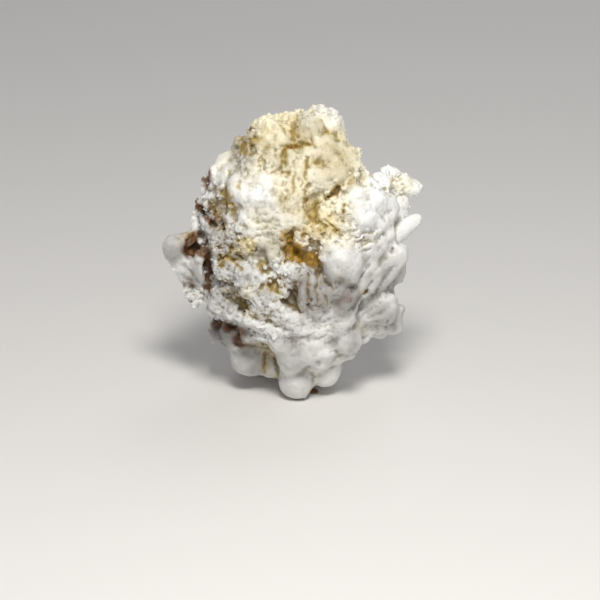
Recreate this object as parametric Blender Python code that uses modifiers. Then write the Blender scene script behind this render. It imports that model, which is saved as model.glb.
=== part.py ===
# Coralloid aragonite: one grown-together mass of knobs, ribs, blades and crumbly crusts.
# The mineral grew as a single piece, so all its growths are fused into one closed skin.
# Growths are placed on an egg-shaped body as its display side shows them, looking down by VIEW_PITCH.

import math
import random

import bmesh
import bpy
import numpy as np
from mathutils import Matrix, Vector

MM = 0.001

# Driving dimensions, in millimetres: the heart is the point behind the middle of the display side,
# and the egg, given by its half widths across, in depth and in height, is the body that all else grows on
HEART_HEIGHT = 46.2
VIEW_PITCH = math.radians(20.0)
EGG_CENTRE_DEPTH = 6.0
EGG_HALF_WIDTHS = (30.0, 21.0, 40.0)
GROWN_TOGETHER = 0.6
CRUMBLE_SIZE = 5.0
CRUMBLE_DEPTH = 1.6
CRUMB_HALF_WIDTHS = (1.0, 1.9)
BACK_LUMPS = 46
BACK_HALF_WIDTHS = (4.4, 7.0)

# How finely the skin is drawn: the voxel is in millimetres, and the counts are triangles
SKIN_VOXEL = 0.7
SKIN_WHILE_CUT = 40000
HOLLOW_SKIN = 3000
SKIN_TRIANGLES = 9300

# Milky, slightly cream calcium carbonate with a dull crust
CHALK_WHITE = (0.80, 0.76, 0.66, 1.0)
CRUST_ROUGHNESS = 0.6

# Plain lumps under the crust: across, depth and height from the heart, then half widths along each
CORE = [
    (-1, 7, 2, 26, 19, 30),
    (-3, 8, 22, 15, 14, 18),
    (-6, 7, 14, 20, 15, 14),
    (-12, 6, -8, 17, 13, 14),
    (3, 8, -20, 17, 16, 17),
    (-7, 8, -24, 16, 13, 12),
    (16, 4, 9, 13, 10, 9),
    (17, 4, -11, 11, 10, 12),
    (-16.5, 6, -27, 8, 9, 7.5),
    (-29, 8, -3, 6, 7, 10),
]

# Lumps on the display side: across and up from the heart, how far the centre sinks behind the egg's face,
# then half widths sideways, front to back and upward
CROWN = [
    (-8.7, 32.6, 4, 7.4, 7.6, 7.4),
    (-15.3, 29.4, 5, 4.2, 7, 4.2),
    (-1.2, 37.2, 5, 5.6, 6, 3.8),
    (5.6, 36.8, 0, 6.2, 7, 5.2),
    (9.7, 35.8, 1, 3.6, 5, 4.6),
    (-12.6, 26.4, 4, 6, 6, 5),
    (10.5, 25.8, 3, 7.4, 8, 8.1),
    (15.3, 26.7, 4, 3.3, 5, 3.6),
    (15, 21.6, 4, 4, 5, 5),
]

LEFT_SIDE = [
    (-21.2, 23.8, 4, 4.8, 7, 4.8),
    (-16.2, 18.6, 3, 8.4, 7, 7.6),
    (-25, 20.4, 2, 2, 5, 4.6),
    (-27.6, 14.4, 1, 2.2, 4, 2.4),
    (-25.5, 9.6, 1, 1.2, 2.4, 2),
    (-20.7, 9.6, 2, 1.6, 2.6, 2.3),
    (-17.6, 7, 2, 3, 3, 1.6),
    (-23.4, 3, 2, 3.9, 4, 4),
    (-19, 5.4, 1, 2, 2.4, 1.4),
    (-16.2, 0.9, 1, 2.8, 2.6, 2.2),
    (-25.8, -4.6, 2, 2.2, 3, 2.4),
    (-21.6, -7.8, 2, 3.9, 3.6, 2.2),
    (-17.1, -7.5, 1, 2.4, 3, 2.4),
    (-25.2, -11.4, 2, 2.8, 3.4, 2),
]

WING = [
    (-37.2, 1.8, 0, 3.8, 4.6, 3.9),
    (-38.6, 0.2, 0, 2.4, 4, 2.6),
    (-35.4, -4, 1, 3.2, 4.4, 3.4),
    (-32.4, -9, 1, 3, 4.2, 3.4),
    (-33.6, -13.5, 0, 2, 2.4, 2),
    (-32.1, -16.2, 0, 1.6, 1.8, 1.6),
    (-30.4, -13.5, 0, 1.8, 2, 2),
    (-31.6, 6.4, 4, 1.8, 2, 1.6),
    (-34, 4.8, 4, 2, 2.4, 1.4),
    (-29.5, -4, 7, 5, 7, 9),
]

MIDDLE = [
    (-7.5, 15.6, 3, 5.6, 5, 7),
    (-4.5, 7.8, 3, 6.4, 5, 4.6),
    (-11.4, 4.2, 2, 5, 4, 3),
    (-10.5, -1.2, 2, 4.6, 4, 3.6),
    (9, 13.2, 1, 2.8, 3, 2.9),
    (8.1, 8.7, 1, 2.9, 3, 2.9),
    (3, 5.4, 0, 2, 2.4, 2),
    (0.3, 2.1, 1, 1.6, 1.6, 1.4),
    (12, -3.6, 1, 6.3, 6, 5.8),
    (11.4, 1.6, 2, 4.6, 4.4, 3),
    (16.5, -3.6, -2, 1.6, 2, 1.7),
    (-3, -7.5, 1, 2.8, 3, 2.3),
    (-3.9, -12.6, 1, 1.1, 2, 1.9),
    (-9.6, -9.3, 1, 1.9, 2.4, 1.5),
]

STEPS = [
    (-15, -13.2, 1, 3.2, 3.4, 2.4),
    (-6, -16.8, 1, 4.2, 3.6, 3.2),
    (-11.4, -18.6, 1, 2.7, 3, 2),
    (-9, -22.8, 1, 6, 4.4, 3.6),
    (-15.6, -24.6, 2, 2.9, 4, 3.6),
    (-1.4, -22.5, 1, 4.2, 4, 4),
    (-22.5, -15.9, 2, 5.6, 5, 4.2),
    (-19.8, -20.7, 1, 4.2, 4, 2),
    (-24.9, -24.9, 4, 3.2, 4, 2.9),
    (4.5, -22.8, 2, 5, 4, 3),
]

RIGHT_SIDE = [
    (18, 13, 0, 5.7, 6, 7.2),
    (25.5, 14.4, 0, 6, 6, 6.3),
    (24.3, 20.4, 0, 4.4, 5, 3),
    (31, 18.4, -1, 3.8, 4, 3.4),
    (35, 18.4, -1, 2.1, 2.4, 1.8),
    (28.2, 23.2, 0, 2.2, 2.4, 2.1),
    (24.6, 24, 0, 1.1, 1.4, 1.5),
    (19.6, 23.4, 2, 0.9, 1.2, 1.4),
    (19.5, 4.2, 2, 5, 5, 4),
    (29.4, 4.2, 0, 3, 4, 4.2),
    (27.6, -3.6, 0, 4, 2.8, 5.8),
    (30.4, 0.6, 0, 1.9, 2.4, 1.5),
    (29.6, -9.3, 0, 2.1, 2, 1.1),
    (22, -3, 1, 4.5, 4, 6),
    (23.4, -17.6, 1, 6.2, 3.4, 5.8),
    (28.8, -17.4, 1, 2, 2.2, 1.8),
    (28.8, -22.6, 1, 1.8, 2.2, 1.2),
    (22, -23.4, 1, 4.4, 4, 1.8),
    (13, -11.7, 3, 4, 4, 2.8),
]

UNDERSIDE = [
    (13.2, -26.8, 1, 5, 5.6, 5),
    (18.9, -28.2, 1, 1.1, 1.5, 1.1),
    (15, -30.9, 2, 2.7, 4, 2.4),
    (8.4, -35.4, 2, 4.9, 5, 5.4),
    (-0.6, -39, 0, 5.6, 5.4, 5.4),
    (-1.5, -31.2, 1, 6.6, 5.4, 5.4),
    (-15.9, -32.7, 3, 5.4, 5.4, 5.4),
    (-9.6, -33.6, 4, 3.6, 4.4, 4.4),
    (6, -28.5, 2, 6, 5, 4.4),
    (-8.4, -30.6, 5, 6, 5, 5),
    (3.9, -43, 1, 1.3, 1.5, 1.1),
]

# Small bits stood behind the left edge
EDGE_BITS = [
    (-27.6, 23.1, 6, 1.3, 1.5, 1.6),
    (-29, 20.7, 6, 1.4, 1.5, 1.4),
    (-27.9, 18.9, 5, 1, 1.2, 1),
    (-29.7, 17.4, 4, 1, 1.2, 1.1),
    (-30.4, 14.1, 4, 1.1, 1.3, 1.6),
    (-30.9, 11.1, 4, 1.2, 1.4, 1.1),
]

# Ribs: across, up, sink and half width at the root, then the same four at the tip
RIBS = [
    (28.4, 4.2, 1, 1.9, 34.6, 9.4, 0, 1.8),
    (15.4, -18.6, 0, 1.6, 21, 2.4, -1, 1.4),
    (15, -20.4, -1, 1.6, 27, 4.2, -1, 1.5),
    (15.6, -21.4, -1, 1.5, 28.8, -5.4, -2, 1.6),
    (15.6, -22.4, -1, 1.6, 30, -12.6, -1, 1.4),
    (15.6, -23.6, -1, 1.6, 29.6, -19.6, -1, 1.5),
    (10.2, 17.6, 1, 2.6, 3.9, 6.4, 0, 1.9),
    (-4.2, 28, 1, 2.4, -3.6, 8, 0, 2.4),
    (-0.6, 27, 1, 2, -0.9, 8, 0, 2.2),
    (-13.4, -5.6, -1, 2, -13.2, -12, -1, 1.9),
    (-29.6, 11.4, 1, 1, -26.8, 5.8, 1, 1.4),
    (-21.4, -2, 1, 1.1, -15, -4.4, 1, 1.2),
]

# Blades and blocks of crystal: across, up, sink, the three half widths, then the lean in degrees
BLADES = [
    (0.8, -12, -1, 2.2, 3, 6.6, 4),
    (5.4, -12.6, -1, 1.6, 3, 6.4, 18),
    (9.2, -13.4, 0, 1.3, 3, 4.2, -24),
    (13.4, -14.6, 0, 3, 2.6, 3.4, -35),
    (-9.4, -22.6, 0, 5.4, 3.2, 3.6, -28),
    (-4.4, -17.2, 0, 3.2, 3, 3.2, -34),
    (-32.2, -7.6, -2, 2.2, 2.2, 3.8, 36),
    (-10.2, 1.6, 0, 4.6, 3, 2.6, 4),
]

# Hollows, cut from the front: the same seven numbers as for a blade
HOLLOWS = [
    (-1.2, 1, -1, 3.8, 7, 4.4, 0),
    (-1, -2.4, -1, 2.2, 8, 2.4, 0),
    (10, 16.6, 0, 4.6, 5, 1.3, 42),
    (-2.4, 30.6, 0, 3.6, 5, 1.6, 0),
    (1.2, 18.6, -1, 1.2, 4, 9, 6),
    (-5.7, 25, 0, 1.1, 4, 5.4, 0),
    (4.8, 28.6, 0, 1.5, 4, 3.6, 6),
    (-28.2, -4.6, -3, 2.2, 9, 10, -7),
    (-33.4, 1.6, -1, 3, 5, 3, 30),
    (-21.6, -22.9, -1, 6, 6, 1.9, -17),
    (-4, -15, -1, 5.4, 4.6, 1.5, -33),
    (-1.8, -12, -2, 1.3, 5, 5.4, 0),
    (-21, 14.2, -2, 1.4, 5, 2.8, -20),
    (-23.4, 9.4, -1, 1.2, 4, 3.2, -30),
    (-10.2, -32.6, -3, 1.2, 4, 3.6, 4),
    (19.8, 3.6, -2, 3.4, 3.4, 1.4, -20),
]

# Each group on the display side, with how many crumbs crust every lump of it
CRUSTS = (
    (CROWN, 26), (LEFT_SIDE, 10), (EDGE_BITS, 5), (WING, 8), (MIDDLE, 6), (STEPS, 12), (RIGHT_SIDE, 12), (UNDERSIDE, 0),
)

# Feet, on which the piece stands behind its lowest front knob: across, depth and height, then half widths
FEET = [
    (-10, 19, 4, 7, 6, 7),
    (7, 15, 3, 7, 9, 7),
    (-1, 19, 6, 10, 8, 12),
    (-2, 20, 18, 14, 8, 12),
]

# How far the mass reaches left and right of the heart, from its foot up
REACH = [
    (-42, -4, 8), (-36, -17, 12), (-30, -21, 15), (-25, -27, 29), (-18, -27, 31), (-12, -27, 28),
    (-3, -27, 31), (6, -28, 30), (15, -29, 32), (22, -28, 21), (30, -21, 18), (39, -12, 13), (43, 2, 8),
]


def egg_depths(across, up):
    """How deep the line of sight at this spot enters and leaves the egg, or passes it nearest, in millimetres."""
    half_across, half_depth, half_height = EGG_HALF_WIDTHS
    sine, cosine = math.sin(VIEW_PITCH), math.cos(VIEW_PITCH)
    a = 1 / half_depth**2 + (sine / cosine / half_height) ** 2
    b = -2 * EGG_CENTRE_DEPTH / half_depth**2 - 2 * up * sine / (cosine * half_height) ** 2
    c = (EGG_CENTRE_DEPTH / half_depth) ** 2 + (up / cosine / half_height) ** 2 + (across / half_across) ** 2 - 1
    reach = math.sqrt(max(0.0, b * b - 4 * a * c))
    return (-b - reach) / (2 * a), (-b + reach) / (2 * a)


def on_view(across, up, depth):
    """A place seen at this spot of the display side, at this depth, in metres."""
    height = HEART_HEIGHT + (up - depth * math.sin(VIEW_PITCH)) / math.cos(VIEW_PITCH)
    return Vector((across, depth, height)) * MM


def on_face(across, up, sink):
    return on_view(across, up, egg_depths(across, up)[0] + sink)


def leaned(place, lean, half_widths):
    """A matrix that sizes a unit shape, leans its top to the left and puts it in place."""
    size = Matrix.Diagonal(Vector(half_widths) * MM).to_4x4()
    return Matrix.Translation(place) @ Matrix.Rotation(math.radians(-lean), 4, "Y") @ size


def unit_shape(make, **settings):
    """Corners and faces of one primitive of unit size."""
    mesh = bmesh.new()
    make(mesh, **settings)
    corners = np.array([corner.co for corner in mesh.verts])
    faces = [[corner.index for corner in face.verts] for face in mesh.faces]
    mesh.free()
    return corners, faces


class Growths:
    """Copies of unit shapes, gathered into one mesh."""

    def __init__(self):
        self.ball = unit_shape(bmesh.ops.create_icosphere, subdivisions=3, radius=1.0)
        self.pea = unit_shape(bmesh.ops.create_icosphere, subdivisions=2, radius=1.0)
        self.block = unit_shape(bmesh.ops.create_cube, size=2.0)
        self.corners = []
        self.faces = []
        self.count = 0

    def add(self, shape, matrix):
        corners, faces = shape
        turned = corners @ np.array(matrix.to_3x3()).T + np.array(matrix.translation)
        self.corners.append(turned)
        self.faces.extend([[corner + self.count for corner in face] for face in faces])
        self.count += len(corners)

    def lump(self, place, half_widths, lean=0.0):
        self.add(self.ball, leaned(place, lean, half_widths))

    def blade(self, place, half_widths, lean):
        self.add(self.block, leaned(place, lean, half_widths))

    def rib(self, root, root_width, tip, tip_width):
        along = tip - root
        turn = along.to_track_quat("Z", "Y").to_matrix().to_4x4()
        rod = unit_shape(
            bmesh.ops.create_cone, cap_ends=True, segments=20, radius1=root_width * MM, radius2=tip_width * MM,
            depth=along.length,
        )
        self.add(rod, Matrix.Translation((root + tip) / 2) @ turn)
        self.lump(root, (root_width,) * 3)
        self.lump(tip, (tip_width,) * 3)

    def crumbs(self, place, half_widths, count, dice):
        """Small knobs spread evenly over a lump by the golden angle, each a little out of line."""
        for n in range(count):
            level = 1 - 2 * (n + 0.5) / count
            turn = n * math.pi * (3 - math.sqrt(5)) + dice.uniform(-0.3, 0.3)
            ring = math.sqrt(1 - level * level)
            way = (ring * math.cos(turn), ring * math.sin(turn), level)
            width = dice.uniform(*CRUMB_HALF_WIDTHS)
            spot = place + Vector([w * s for w, s in zip(way, half_widths)]) * MM * 0.88
            self.add(self.pea, leaned(spot, 0.0, (width, width, width * dice.uniform(0.8, 1.3))))

    def to_object(self, name, collection):
        data = bpy.data.meshes.new(name)
        data.from_pydata(np.concatenate(self.corners).tolist(), [], self.faces)
        made = bpy.data.objects.new(name, data)
        collection.objects.link(made)
        return made


def add_back(growths, dice):
    """Knobs spread evenly over the side away from the eye, none of them wider than the outline."""
    ups = [row[0] for row in REACH]
    for n in range(1, BACK_LUMPS + 1):
        width = dice.uniform(*BACK_HALF_WIDTHS)
        up = ups[0] + width + (n * 0.7549 % 1) * (ups[-1] - ups[0] - 2 * width)
        spread = np.linspace(up - width, up + width, 5)
        left = np.interp(spread, ups, [row[1] for row in REACH]).max() + width + 1
        right = np.interp(spread, ups, [row[2] for row in REACH]).min() - width - 1
        across = left + (n * 0.5698 % 1) * (right - left)
        place = on_view(across, up, egg_depths(across, up)[1] - width * 0.4)
        half_widths = (width, width * 0.9, width * dice.uniform(0.8, 1.1))
        growths.lump(place, half_widths)
        growths.crumbs(place, half_widths, 20, dice)


def add_remesh(owner):
    fuse = owner.modifiers.new("fuse", "REMESH")
    fuse.mode = "VOXEL"
    fuse.voxel_size = SKIN_VOXEL * MM


def count_triangles(owner):
    graph = bpy.context.evaluated_depsgraph_get()
    data = owner.evaluated_get(graph).to_mesh()
    data.calc_loop_triangles()
    return len(data.loop_triangles)


def add_decimate(owner, triangles):
    ratio = triangles / count_triangles(owner)
    thin = owner.modifiers.new("thin", "DECIMATE")
    thin.ratio = ratio


def add_swell(owner, distance):
    swell = owner.modifiers.new("swell", "DISPLACE")
    swell.mid_level = 0.0
    swell.strength = distance * MM


def add_crumble(owner):
    """Cauliflower relief: rounded cells with sharp valleys between them."""
    cells = bpy.data.textures.new("crumble", "VORONOI")
    cells.noise_scale = CRUMBLE_SIZE * MM
    cells.weight_1 = -1.0
    crumble = owner.modifiers.new("crumble", "DISPLACE")
    crumble.texture = cells
    crumble.texture_coords = "LOCAL"
    crumble.mid_level = 0.5
    crumble.strength = CRUMBLE_DEPTH * MM


def add_cut(owner, cutter):
    cutter.hide_render = True
    cutter.display_type = "WIRE"
    cut = owner.modifiers.new("cut", "BOOLEAN")
    cut.object = cutter
    cut.operation = "DIFFERENCE"
    cut.solver = "EXACT"


def grow(dice):
    """All the growths as one object, still as separate overlapping shapes."""
    growths = Growths()
    for across, depth, height, *half_widths in CORE:
        growths.lump(Vector((across, depth, height + HEART_HEIGHT)) * MM, half_widths)
    for group, crumbs in CRUSTS:
        for across, up, sink, *half_widths in group:
            place = on_face(across, up, sink)
            growths.lump(place, half_widths)
            growths.crumbs(place, half_widths, crumbs, dice)
    for across, depth, height, *half_widths in FEET:
        growths.lump(Vector((across, depth, height)) * MM, half_widths)
    for *root, root_width, across, up, sink, tip_width in RIBS:
        growths.rib(on_face(*root), root_width, on_face(across, up, sink), tip_width)
    for across, up, sink, *half_widths, lean in BLADES:
        growths.blade(on_face(across, up, sink), half_widths, lean)
    add_back(growths, dice)
    return growths.to_object("aragonite", parts)


def dig():
    """All the hollows as one cutter."""
    pits = Growths()
    for across, up, sink, *half_widths, lean in HOLLOWS:
        pits.lump(on_face(across, up, sink), half_widths, lean)
    cutter = pits.to_object("hollows", cutters)
    add_remesh(cutter)
    add_decimate(cutter, HOLLOW_SKIN)
    return cutter


def floor_block():
    """Everything below the flat scar where the piece was broken off its rock."""
    block = Growths()
    half = HEART_HEIGHT * MM * 2
    block.add(block.block, Matrix.Translation((0, 0, -half)) @ Matrix.Diagonal((half, half, half, 1)))
    return block.to_object("floor", cutters)


def mineral():
    """Milky calcium carbonate."""
    made = bpy.data.materials.new("aragonite")
    made.use_nodes = True
    shader = made.node_tree.nodes["Principled BSDF"]
    shader.inputs["Base Color"].default_value = CHALK_WHITE
    shader.inputs["Roughness"].default_value = CRUST_ROUGHNESS
    shader.inputs["Metallic"].default_value = 0.0
    return made


def finish(mass):
    """Keep the evaluated skin, centred over the origin, with its own material."""
    graph = bpy.context.evaluated_depsgraph_get()
    skin = bpy.data.meshes.new_from_object(mass.evaluated_get(graph))
    mass.modifiers.clear()
    mass.data = skin
    corners = np.array([corner.co for corner in skin.vertices])
    middle = (corners.min(axis=0) + corners.max(axis=0)) / 2
    skin.transform(Matrix.Translation((-middle[0], -middle[1], 0)))
    skin.shade_smooth()
    skin.materials.clear()
    skin.materials.append(mineral())


for old in list(bpy.data.objects):
    bpy.data.objects.remove(old)
parts = bpy.data.collections.new("coralloid_aragonite")
cutters = bpy.data.collections.new("cutters")
for collection in (parts, cutters):
    bpy.context.scene.collection.children.link(collection)

mass = grow(random.Random(7))
add_remesh(mass)
add_swell(mass, GROWN_TOGETHER)
add_remesh(mass)
add_swell(mass, -GROWN_TOGETHER)
add_decimate(mass, SKIN_WHILE_CUT)
add_cut(mass, dig())
add_crumble(mass)
add_remesh(mass)
add_decimate(mass, SKIN_TRIANGLES)
add_cut(mass, floor_block())
finish(mass)
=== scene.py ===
# Coralloid aragonite, dressed: a white to cream coral-like growth with ochre crevices.
# Big forms are fused into one mass and hollows are cut, then come swells, a crust of chips, beads and cracks.
# Lengths are in millimetres up to the moment a mesh is made.
import math

import bpy
import numpy as np
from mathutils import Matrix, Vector


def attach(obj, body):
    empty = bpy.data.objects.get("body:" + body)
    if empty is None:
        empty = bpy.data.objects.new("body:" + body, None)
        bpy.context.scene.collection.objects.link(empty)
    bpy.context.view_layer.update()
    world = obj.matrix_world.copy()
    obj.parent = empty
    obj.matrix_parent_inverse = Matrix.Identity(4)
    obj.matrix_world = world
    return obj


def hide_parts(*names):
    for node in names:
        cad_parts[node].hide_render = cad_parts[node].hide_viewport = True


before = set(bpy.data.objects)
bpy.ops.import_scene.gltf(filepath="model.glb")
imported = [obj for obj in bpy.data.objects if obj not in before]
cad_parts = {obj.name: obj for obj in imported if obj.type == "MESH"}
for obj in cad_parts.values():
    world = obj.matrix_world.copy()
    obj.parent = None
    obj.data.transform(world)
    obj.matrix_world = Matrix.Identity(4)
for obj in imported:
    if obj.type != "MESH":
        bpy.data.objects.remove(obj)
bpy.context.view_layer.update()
print("frame loaded")

mm = 0.001
heart = {"across": 1.9, "depth": -5.7, "height": 46.2}  # point behind the middle of the display side
heartPlace = np.array(list(heart.values()))
viewPitch = math.radians(20.0)  # the display side is looked down on by this
sine, cosine = math.sin(viewPitch), math.cos(viewPitch)
egg = {"depth": 6.0, "halfWidths": (30.0, 21.0, 40.0)}  # the body that all growths sit on
farEdge = {"sink": 14.0, "width": 3.0}  # the far side starts this far behind the egg's near face, softly


# Random numbers that stay the same: one per lattice cell, from its whole-number place and a salt
def cellHash(cell, salt):
    mixed = cell[..., 0] * 374761393 + cell[..., 1] * 668265263 + cell[..., 2] * 1440662683 + salt * 97531
    mixed = mixed & 0xFFFFFFFF
    mixed = ((mixed ^ (mixed >> 13)) * 1274126177) & 0xFFFFFFFF
    return (mixed ^ (mixed >> 16)) / 4294967296.0


# Soft noise from -1 to 1: the eight corner values of the lattice cell, blended smoothly
def softNoise(points, size, salt):
    place = points / size
    cell = np.floor(place).astype(np.int64)
    part = place - cell
    blend = part * part * (3 - 2 * part)
    total = 0.0
    for corner in np.ndindex(2, 2, 2):
        side = np.array(corner)
        weight = np.prod(np.where(side, blend, 1 - blend), axis=-1)
        total = total + weight * cellHash(cell + side, salt)
    return total * 2 - 1


# Creases: soft noise folded at zero, so that narrow rises run where it crosses zero
def creaseNoise(points, size, salt):
    return -3 * np.abs(softNoise(points, size, salt))


def cellWay(cell, salt):
    return np.stack([cellHash(cell, salt + axis) for axis in range(3)], axis=-1)


# The 27 lattice cells round each point in turn, with the gap from the scattered point in that cell
def scatteredNear(points, size, salt):
    place = points / size
    cell = np.floor(place).astype(np.int64)
    for step in np.ndindex(3, 3, 3):
        other = cell + np.array(step) - 1
        yield other, place - other - cellWay(other, salt)


# Knobs: 0 at each scattered point, falling by the distance to the nearest of them
def knobNoise(points, size, salt):
    nearest = 9.0
    for other, gap in scatteredNear(points, size, salt):
        nearest = np.minimum(nearest, np.linalg.norm(gap, axis=-1))
    return -nearest


# Broken facets from -1 to 1: round each scattered point the height is a flat slope tilted its own way
def facetNoise(points, size, salt):
    nearest, height = 9.0, 0.0
    for other, gap in scatteredNear(points, size, salt):
        away = np.linalg.norm(gap, axis=-1)
        tilt = cellWay(other, salt + 7) * 2 - 1
        slope = (gap * tilt).sum(axis=-1) * 1.4 + cellHash(other, salt + 11) - 0.5
        height = np.where(away < nearest, slope, height)
        nearest = np.minimum(nearest, away)
    return height


# Depths where a line of sight enters and leaves the egg: the two roots of the ellipsoid's equation
def eggFace(across, up):
    halfAcross, halfDepth, halfHeight = egg["halfWidths"]
    a = 1 / halfDepth**2 + (sine / cosine / halfHeight) ** 2
    b = -2 * egg["depth"] / halfDepth**2 - 2 * up * sine / (cosine * halfHeight) ** 2
    c = (egg["depth"] / halfDepth) ** 2 + (up / cosine / halfHeight) ** 2 + (across / halfAcross) ** 2 - 1
    reach = np.sqrt(np.maximum(0.0, b * b - 4 * a * c))
    return (-b - reach) / (2 * a), (-b + reach) / (2 * a)


# Place in the frame of a spot of the display side at some depth behind the heart
def fromView(across, up, depth):
    height = heart["height"] + (up - depth * sine) / cosine
    return np.stack([across + heart["across"], depth + heart["depth"], height], axis=-1)


# The spot of the display side where a place in the frame is seen, and its depth behind the heart
def toView(points):
    across = points[..., 0] - heart["across"]
    depth = points[..., 1] - heart["depth"]
    up = (points[..., 2] - heart["height"]) * cosine + depth * sine
    return across, up, depth


# Soft step: 1 well below the edge and 0 well above it
def below(value, edge, width):
    return 1 / (1 + np.exp((value - edge) / width))


# A ball's two angles on a grid: the turn round its axis, and the rise from pole to pole
def ballAngles(around, rings):
    turn = np.linspace(0, 2 * math.pi, around, endpoint=False)
    return np.meshgrid(turn, np.linspace(-math.pi / 2, math.pi / 2, rings))


# A sine or cosine raised to a power with its sign kept: a power below 1 squares the shape off
def squaredOff(value, power):
    return np.sign(value) * np.abs(value) ** power


# Closed lumps, all at once: a sphere's two angles on a grid, stretched to the half widths, pushed in and
# out by soft noise, squared off where boxy is below 1, and leaned to the left in the plane across
def lumpSurfaces(places, halfWidths, lean, boxy, rough, salt, around=28, rings=16):
    turn, rise = ballAngles(around, rings)
    level = squaredOff(np.cos(rise), boxy)
    way = np.stack([
        level * squaredOff(np.cos(turn), boxy),
        level * squaredOff(np.sin(turn), boxy),
        squaredOff(np.sin(rise), boxy),
    ], axis=-1)
    shift = (np.arange(len(places)) * 7.31)[:, None, None, None]  # so that no two lumps have the same bulges
    bulge = softNoise(way * 1.6 + shift, 1.0, salt) + 0.5 * softNoise(way * 3.4 + shift, 1.0, salt + 5)
    body = way * halfWidths[:, None, None, :] * (1 + rough * bulge)[..., None]
    angle = -np.radians(lean)[:, None, None]
    x = body[..., 0] * np.cos(angle) + body[..., 2] * np.sin(angle)
    z = -body[..., 0] * np.sin(angle) + body[..., 2] * np.cos(angle)
    return gridMesh(np.stack([x, body[..., 1], z], axis=-1) + places[:, None, None, :])


# Corners and triangles of closed grids: each ring joins round, and both end rings shrink to one corner
def gridMesh(body):
    count, rings, around = body.shape[:3]
    index = np.arange(count * rings * around).reshape(count, rings, around)
    index[:, 0] = index[:, 0, :1]
    index[:, -1] = index[:, -1, :1]
    low, high = index[:, :-1], index[:, 1:]
    lowNext, highNext = np.roll(low, -1, axis=2), np.roll(high, -1, axis=2)
    sides = np.concatenate([
        np.stack([low, lowNext, highNext], axis=-1).reshape(-1, 3),
        np.stack([low, highNext, high], axis=-1).reshape(-1, 3),
    ])
    whole = (sides[:, 0] != sides[:, 1]) & (sides[:, 1] != sides[:, 2]) & (sides[:, 0] != sides[:, 2])
    used, sides = np.unique(sides[whole], return_inverse=True)
    return body.reshape(-1, 3)[used], sides.reshape(-1, 3)


# Closed ribs: rings carried straight from root to tip, with rounded ends, their width waved by noise
def ribSurfaces(roots, tips, rootWidths, tipWidths, rough, salt, around=20, rings=18):
    along = tips - roots
    length = np.linalg.norm(along, axis=1, keepdims=True)
    ahead = along / length
    side = np.cross(ahead, np.array([0.0, 1.0, 0.2]))
    side /= np.linalg.norm(side, axis=1, keepdims=True)
    front = np.cross(ahead, side)
    turn, rise = ballAngles(around, rings)
    part = (np.sin(rise) + 1) / 2
    width = rootWidths[:, None, None] * (1 - part) + tipWidths[:, None, None] * part
    level = np.sin(rise) * (length[:, :, None] / 2 + width)
    wave = np.stack(np.broadcast_arrays(level / 3, np.cos(turn), np.sin(turn)), axis=-1)
    shift = (np.arange(len(roots)) * 5.17)[:, None, None, None]  # so that no two ribs have the same waves
    ring = width * (1 + rough * softNoise(wave + shift, 1.0, salt)) * np.cos(rise) ** 0.35
    body = ((roots + tips) / 2)[:, None, None, :] + ahead[:, None, None, :] * level[..., None]
    body = body + side[:, None, None, :] * (ring * np.cos(turn))[..., None]
    body = body + front[:, None, None, :] * (ring * np.sin(turn))[..., None]
    return gridMesh(body)


# Big forms of the display side. Each has across, up, sink behind the egg's face, half widths sideways,
# front to back and upward, then the lean to the left in degrees, if any. Boxy under 1 squares a form off.
crown = {"boxy": 1, "rough": 0.12, "forms": [
    (-9.3, 32.3, 3.4, 6.8, 7.4, 7), (-14.4, 29.6, 4.4, 4, 5.8, 3.8), (-18, 31.6, 5, 2.4, 4, 2.6),
    (-5.1, 37.6, 4.6, 3, 5, 2.8), (-0.9, 38.6, 4.4, 3, 5, 2.8), (-10.4, 37.4, 4.8, 2.4, 4, 2),
    (-9.4, 39.4, 4.8, 1.8, 3, 1.6), (-5.6, 31, 2.4, 3.6, 5.4, 4.6, 10), (-3, 34, 3.4, 2.2, 4.4, 3.4),
    (-13.2, 25.8, 3.4, 5.4, 6, 4.4), (-8.4, 25.6, 3, 3.6, 5, 4.6), (-16.8, 26.6, 4, 2.6, 4.6, 2.6),
]}
boulder = {"boxy": 0.8, "rough": 0.16, "forms": [
    (2.6, 35.4, 1.4, 3.4, 4.6, 4.4, -6), (5.8, 37.4, 1.6, 3.4, 4.6, 3.8, 20), (8.9, 36.2, 1.6, 3.6, 4.8, 4.4),
    (11.5, 35, 2.2, 2, 4, 4.2), (4.9, 41.2, 2.4, 3, 4.2, 2), (9.4, 39.9, 2.4, 2.2, 3.8, 2),
    (5.6, 32, 2, 4.2, 4.4, 2.4), (12.2, 33, 2.4, 1.4, 3.4, 1.6), (11.8, 38.2, 2.8, 1.1, 2.8, 1.4),
    (1.6, 38.9, 2.4, 2, 3.4, 2),
]}
yellowDome = {"boxy": 0.75, "rough": 0.16, "forms": [
    (8.2, 28, 2.4, 4.6, 5.8, 4.2), (12, 27, 2.8, 4.2, 5.6, 4), (9.6, 23.2, 2.6, 4.8, 5.8, 4),
    (14.4, 25, 3.2, 3.3, 5, 5.2), (12.6, 20.4, 2.8, 4.4, 4.8, 2.8), (6.2, 21, 2.6, 3.6, 4.2, 4.4),
    (19, 23.6, 3, 0.6, 1.2, 1), (14.4, 29.6, 4, 1.5, 3, 1.3), (17, 29, 4.4, 1.3, 2.2, 1.2),
    (16, 27.6, 3.6, 1.3, 2.8, 1.5), (16.3, 24.8, 3.4, 1.2, 2.6, 1.5), (5, 26.4, 2.6, 2.6, 4.2, 4.6),
]}
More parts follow.
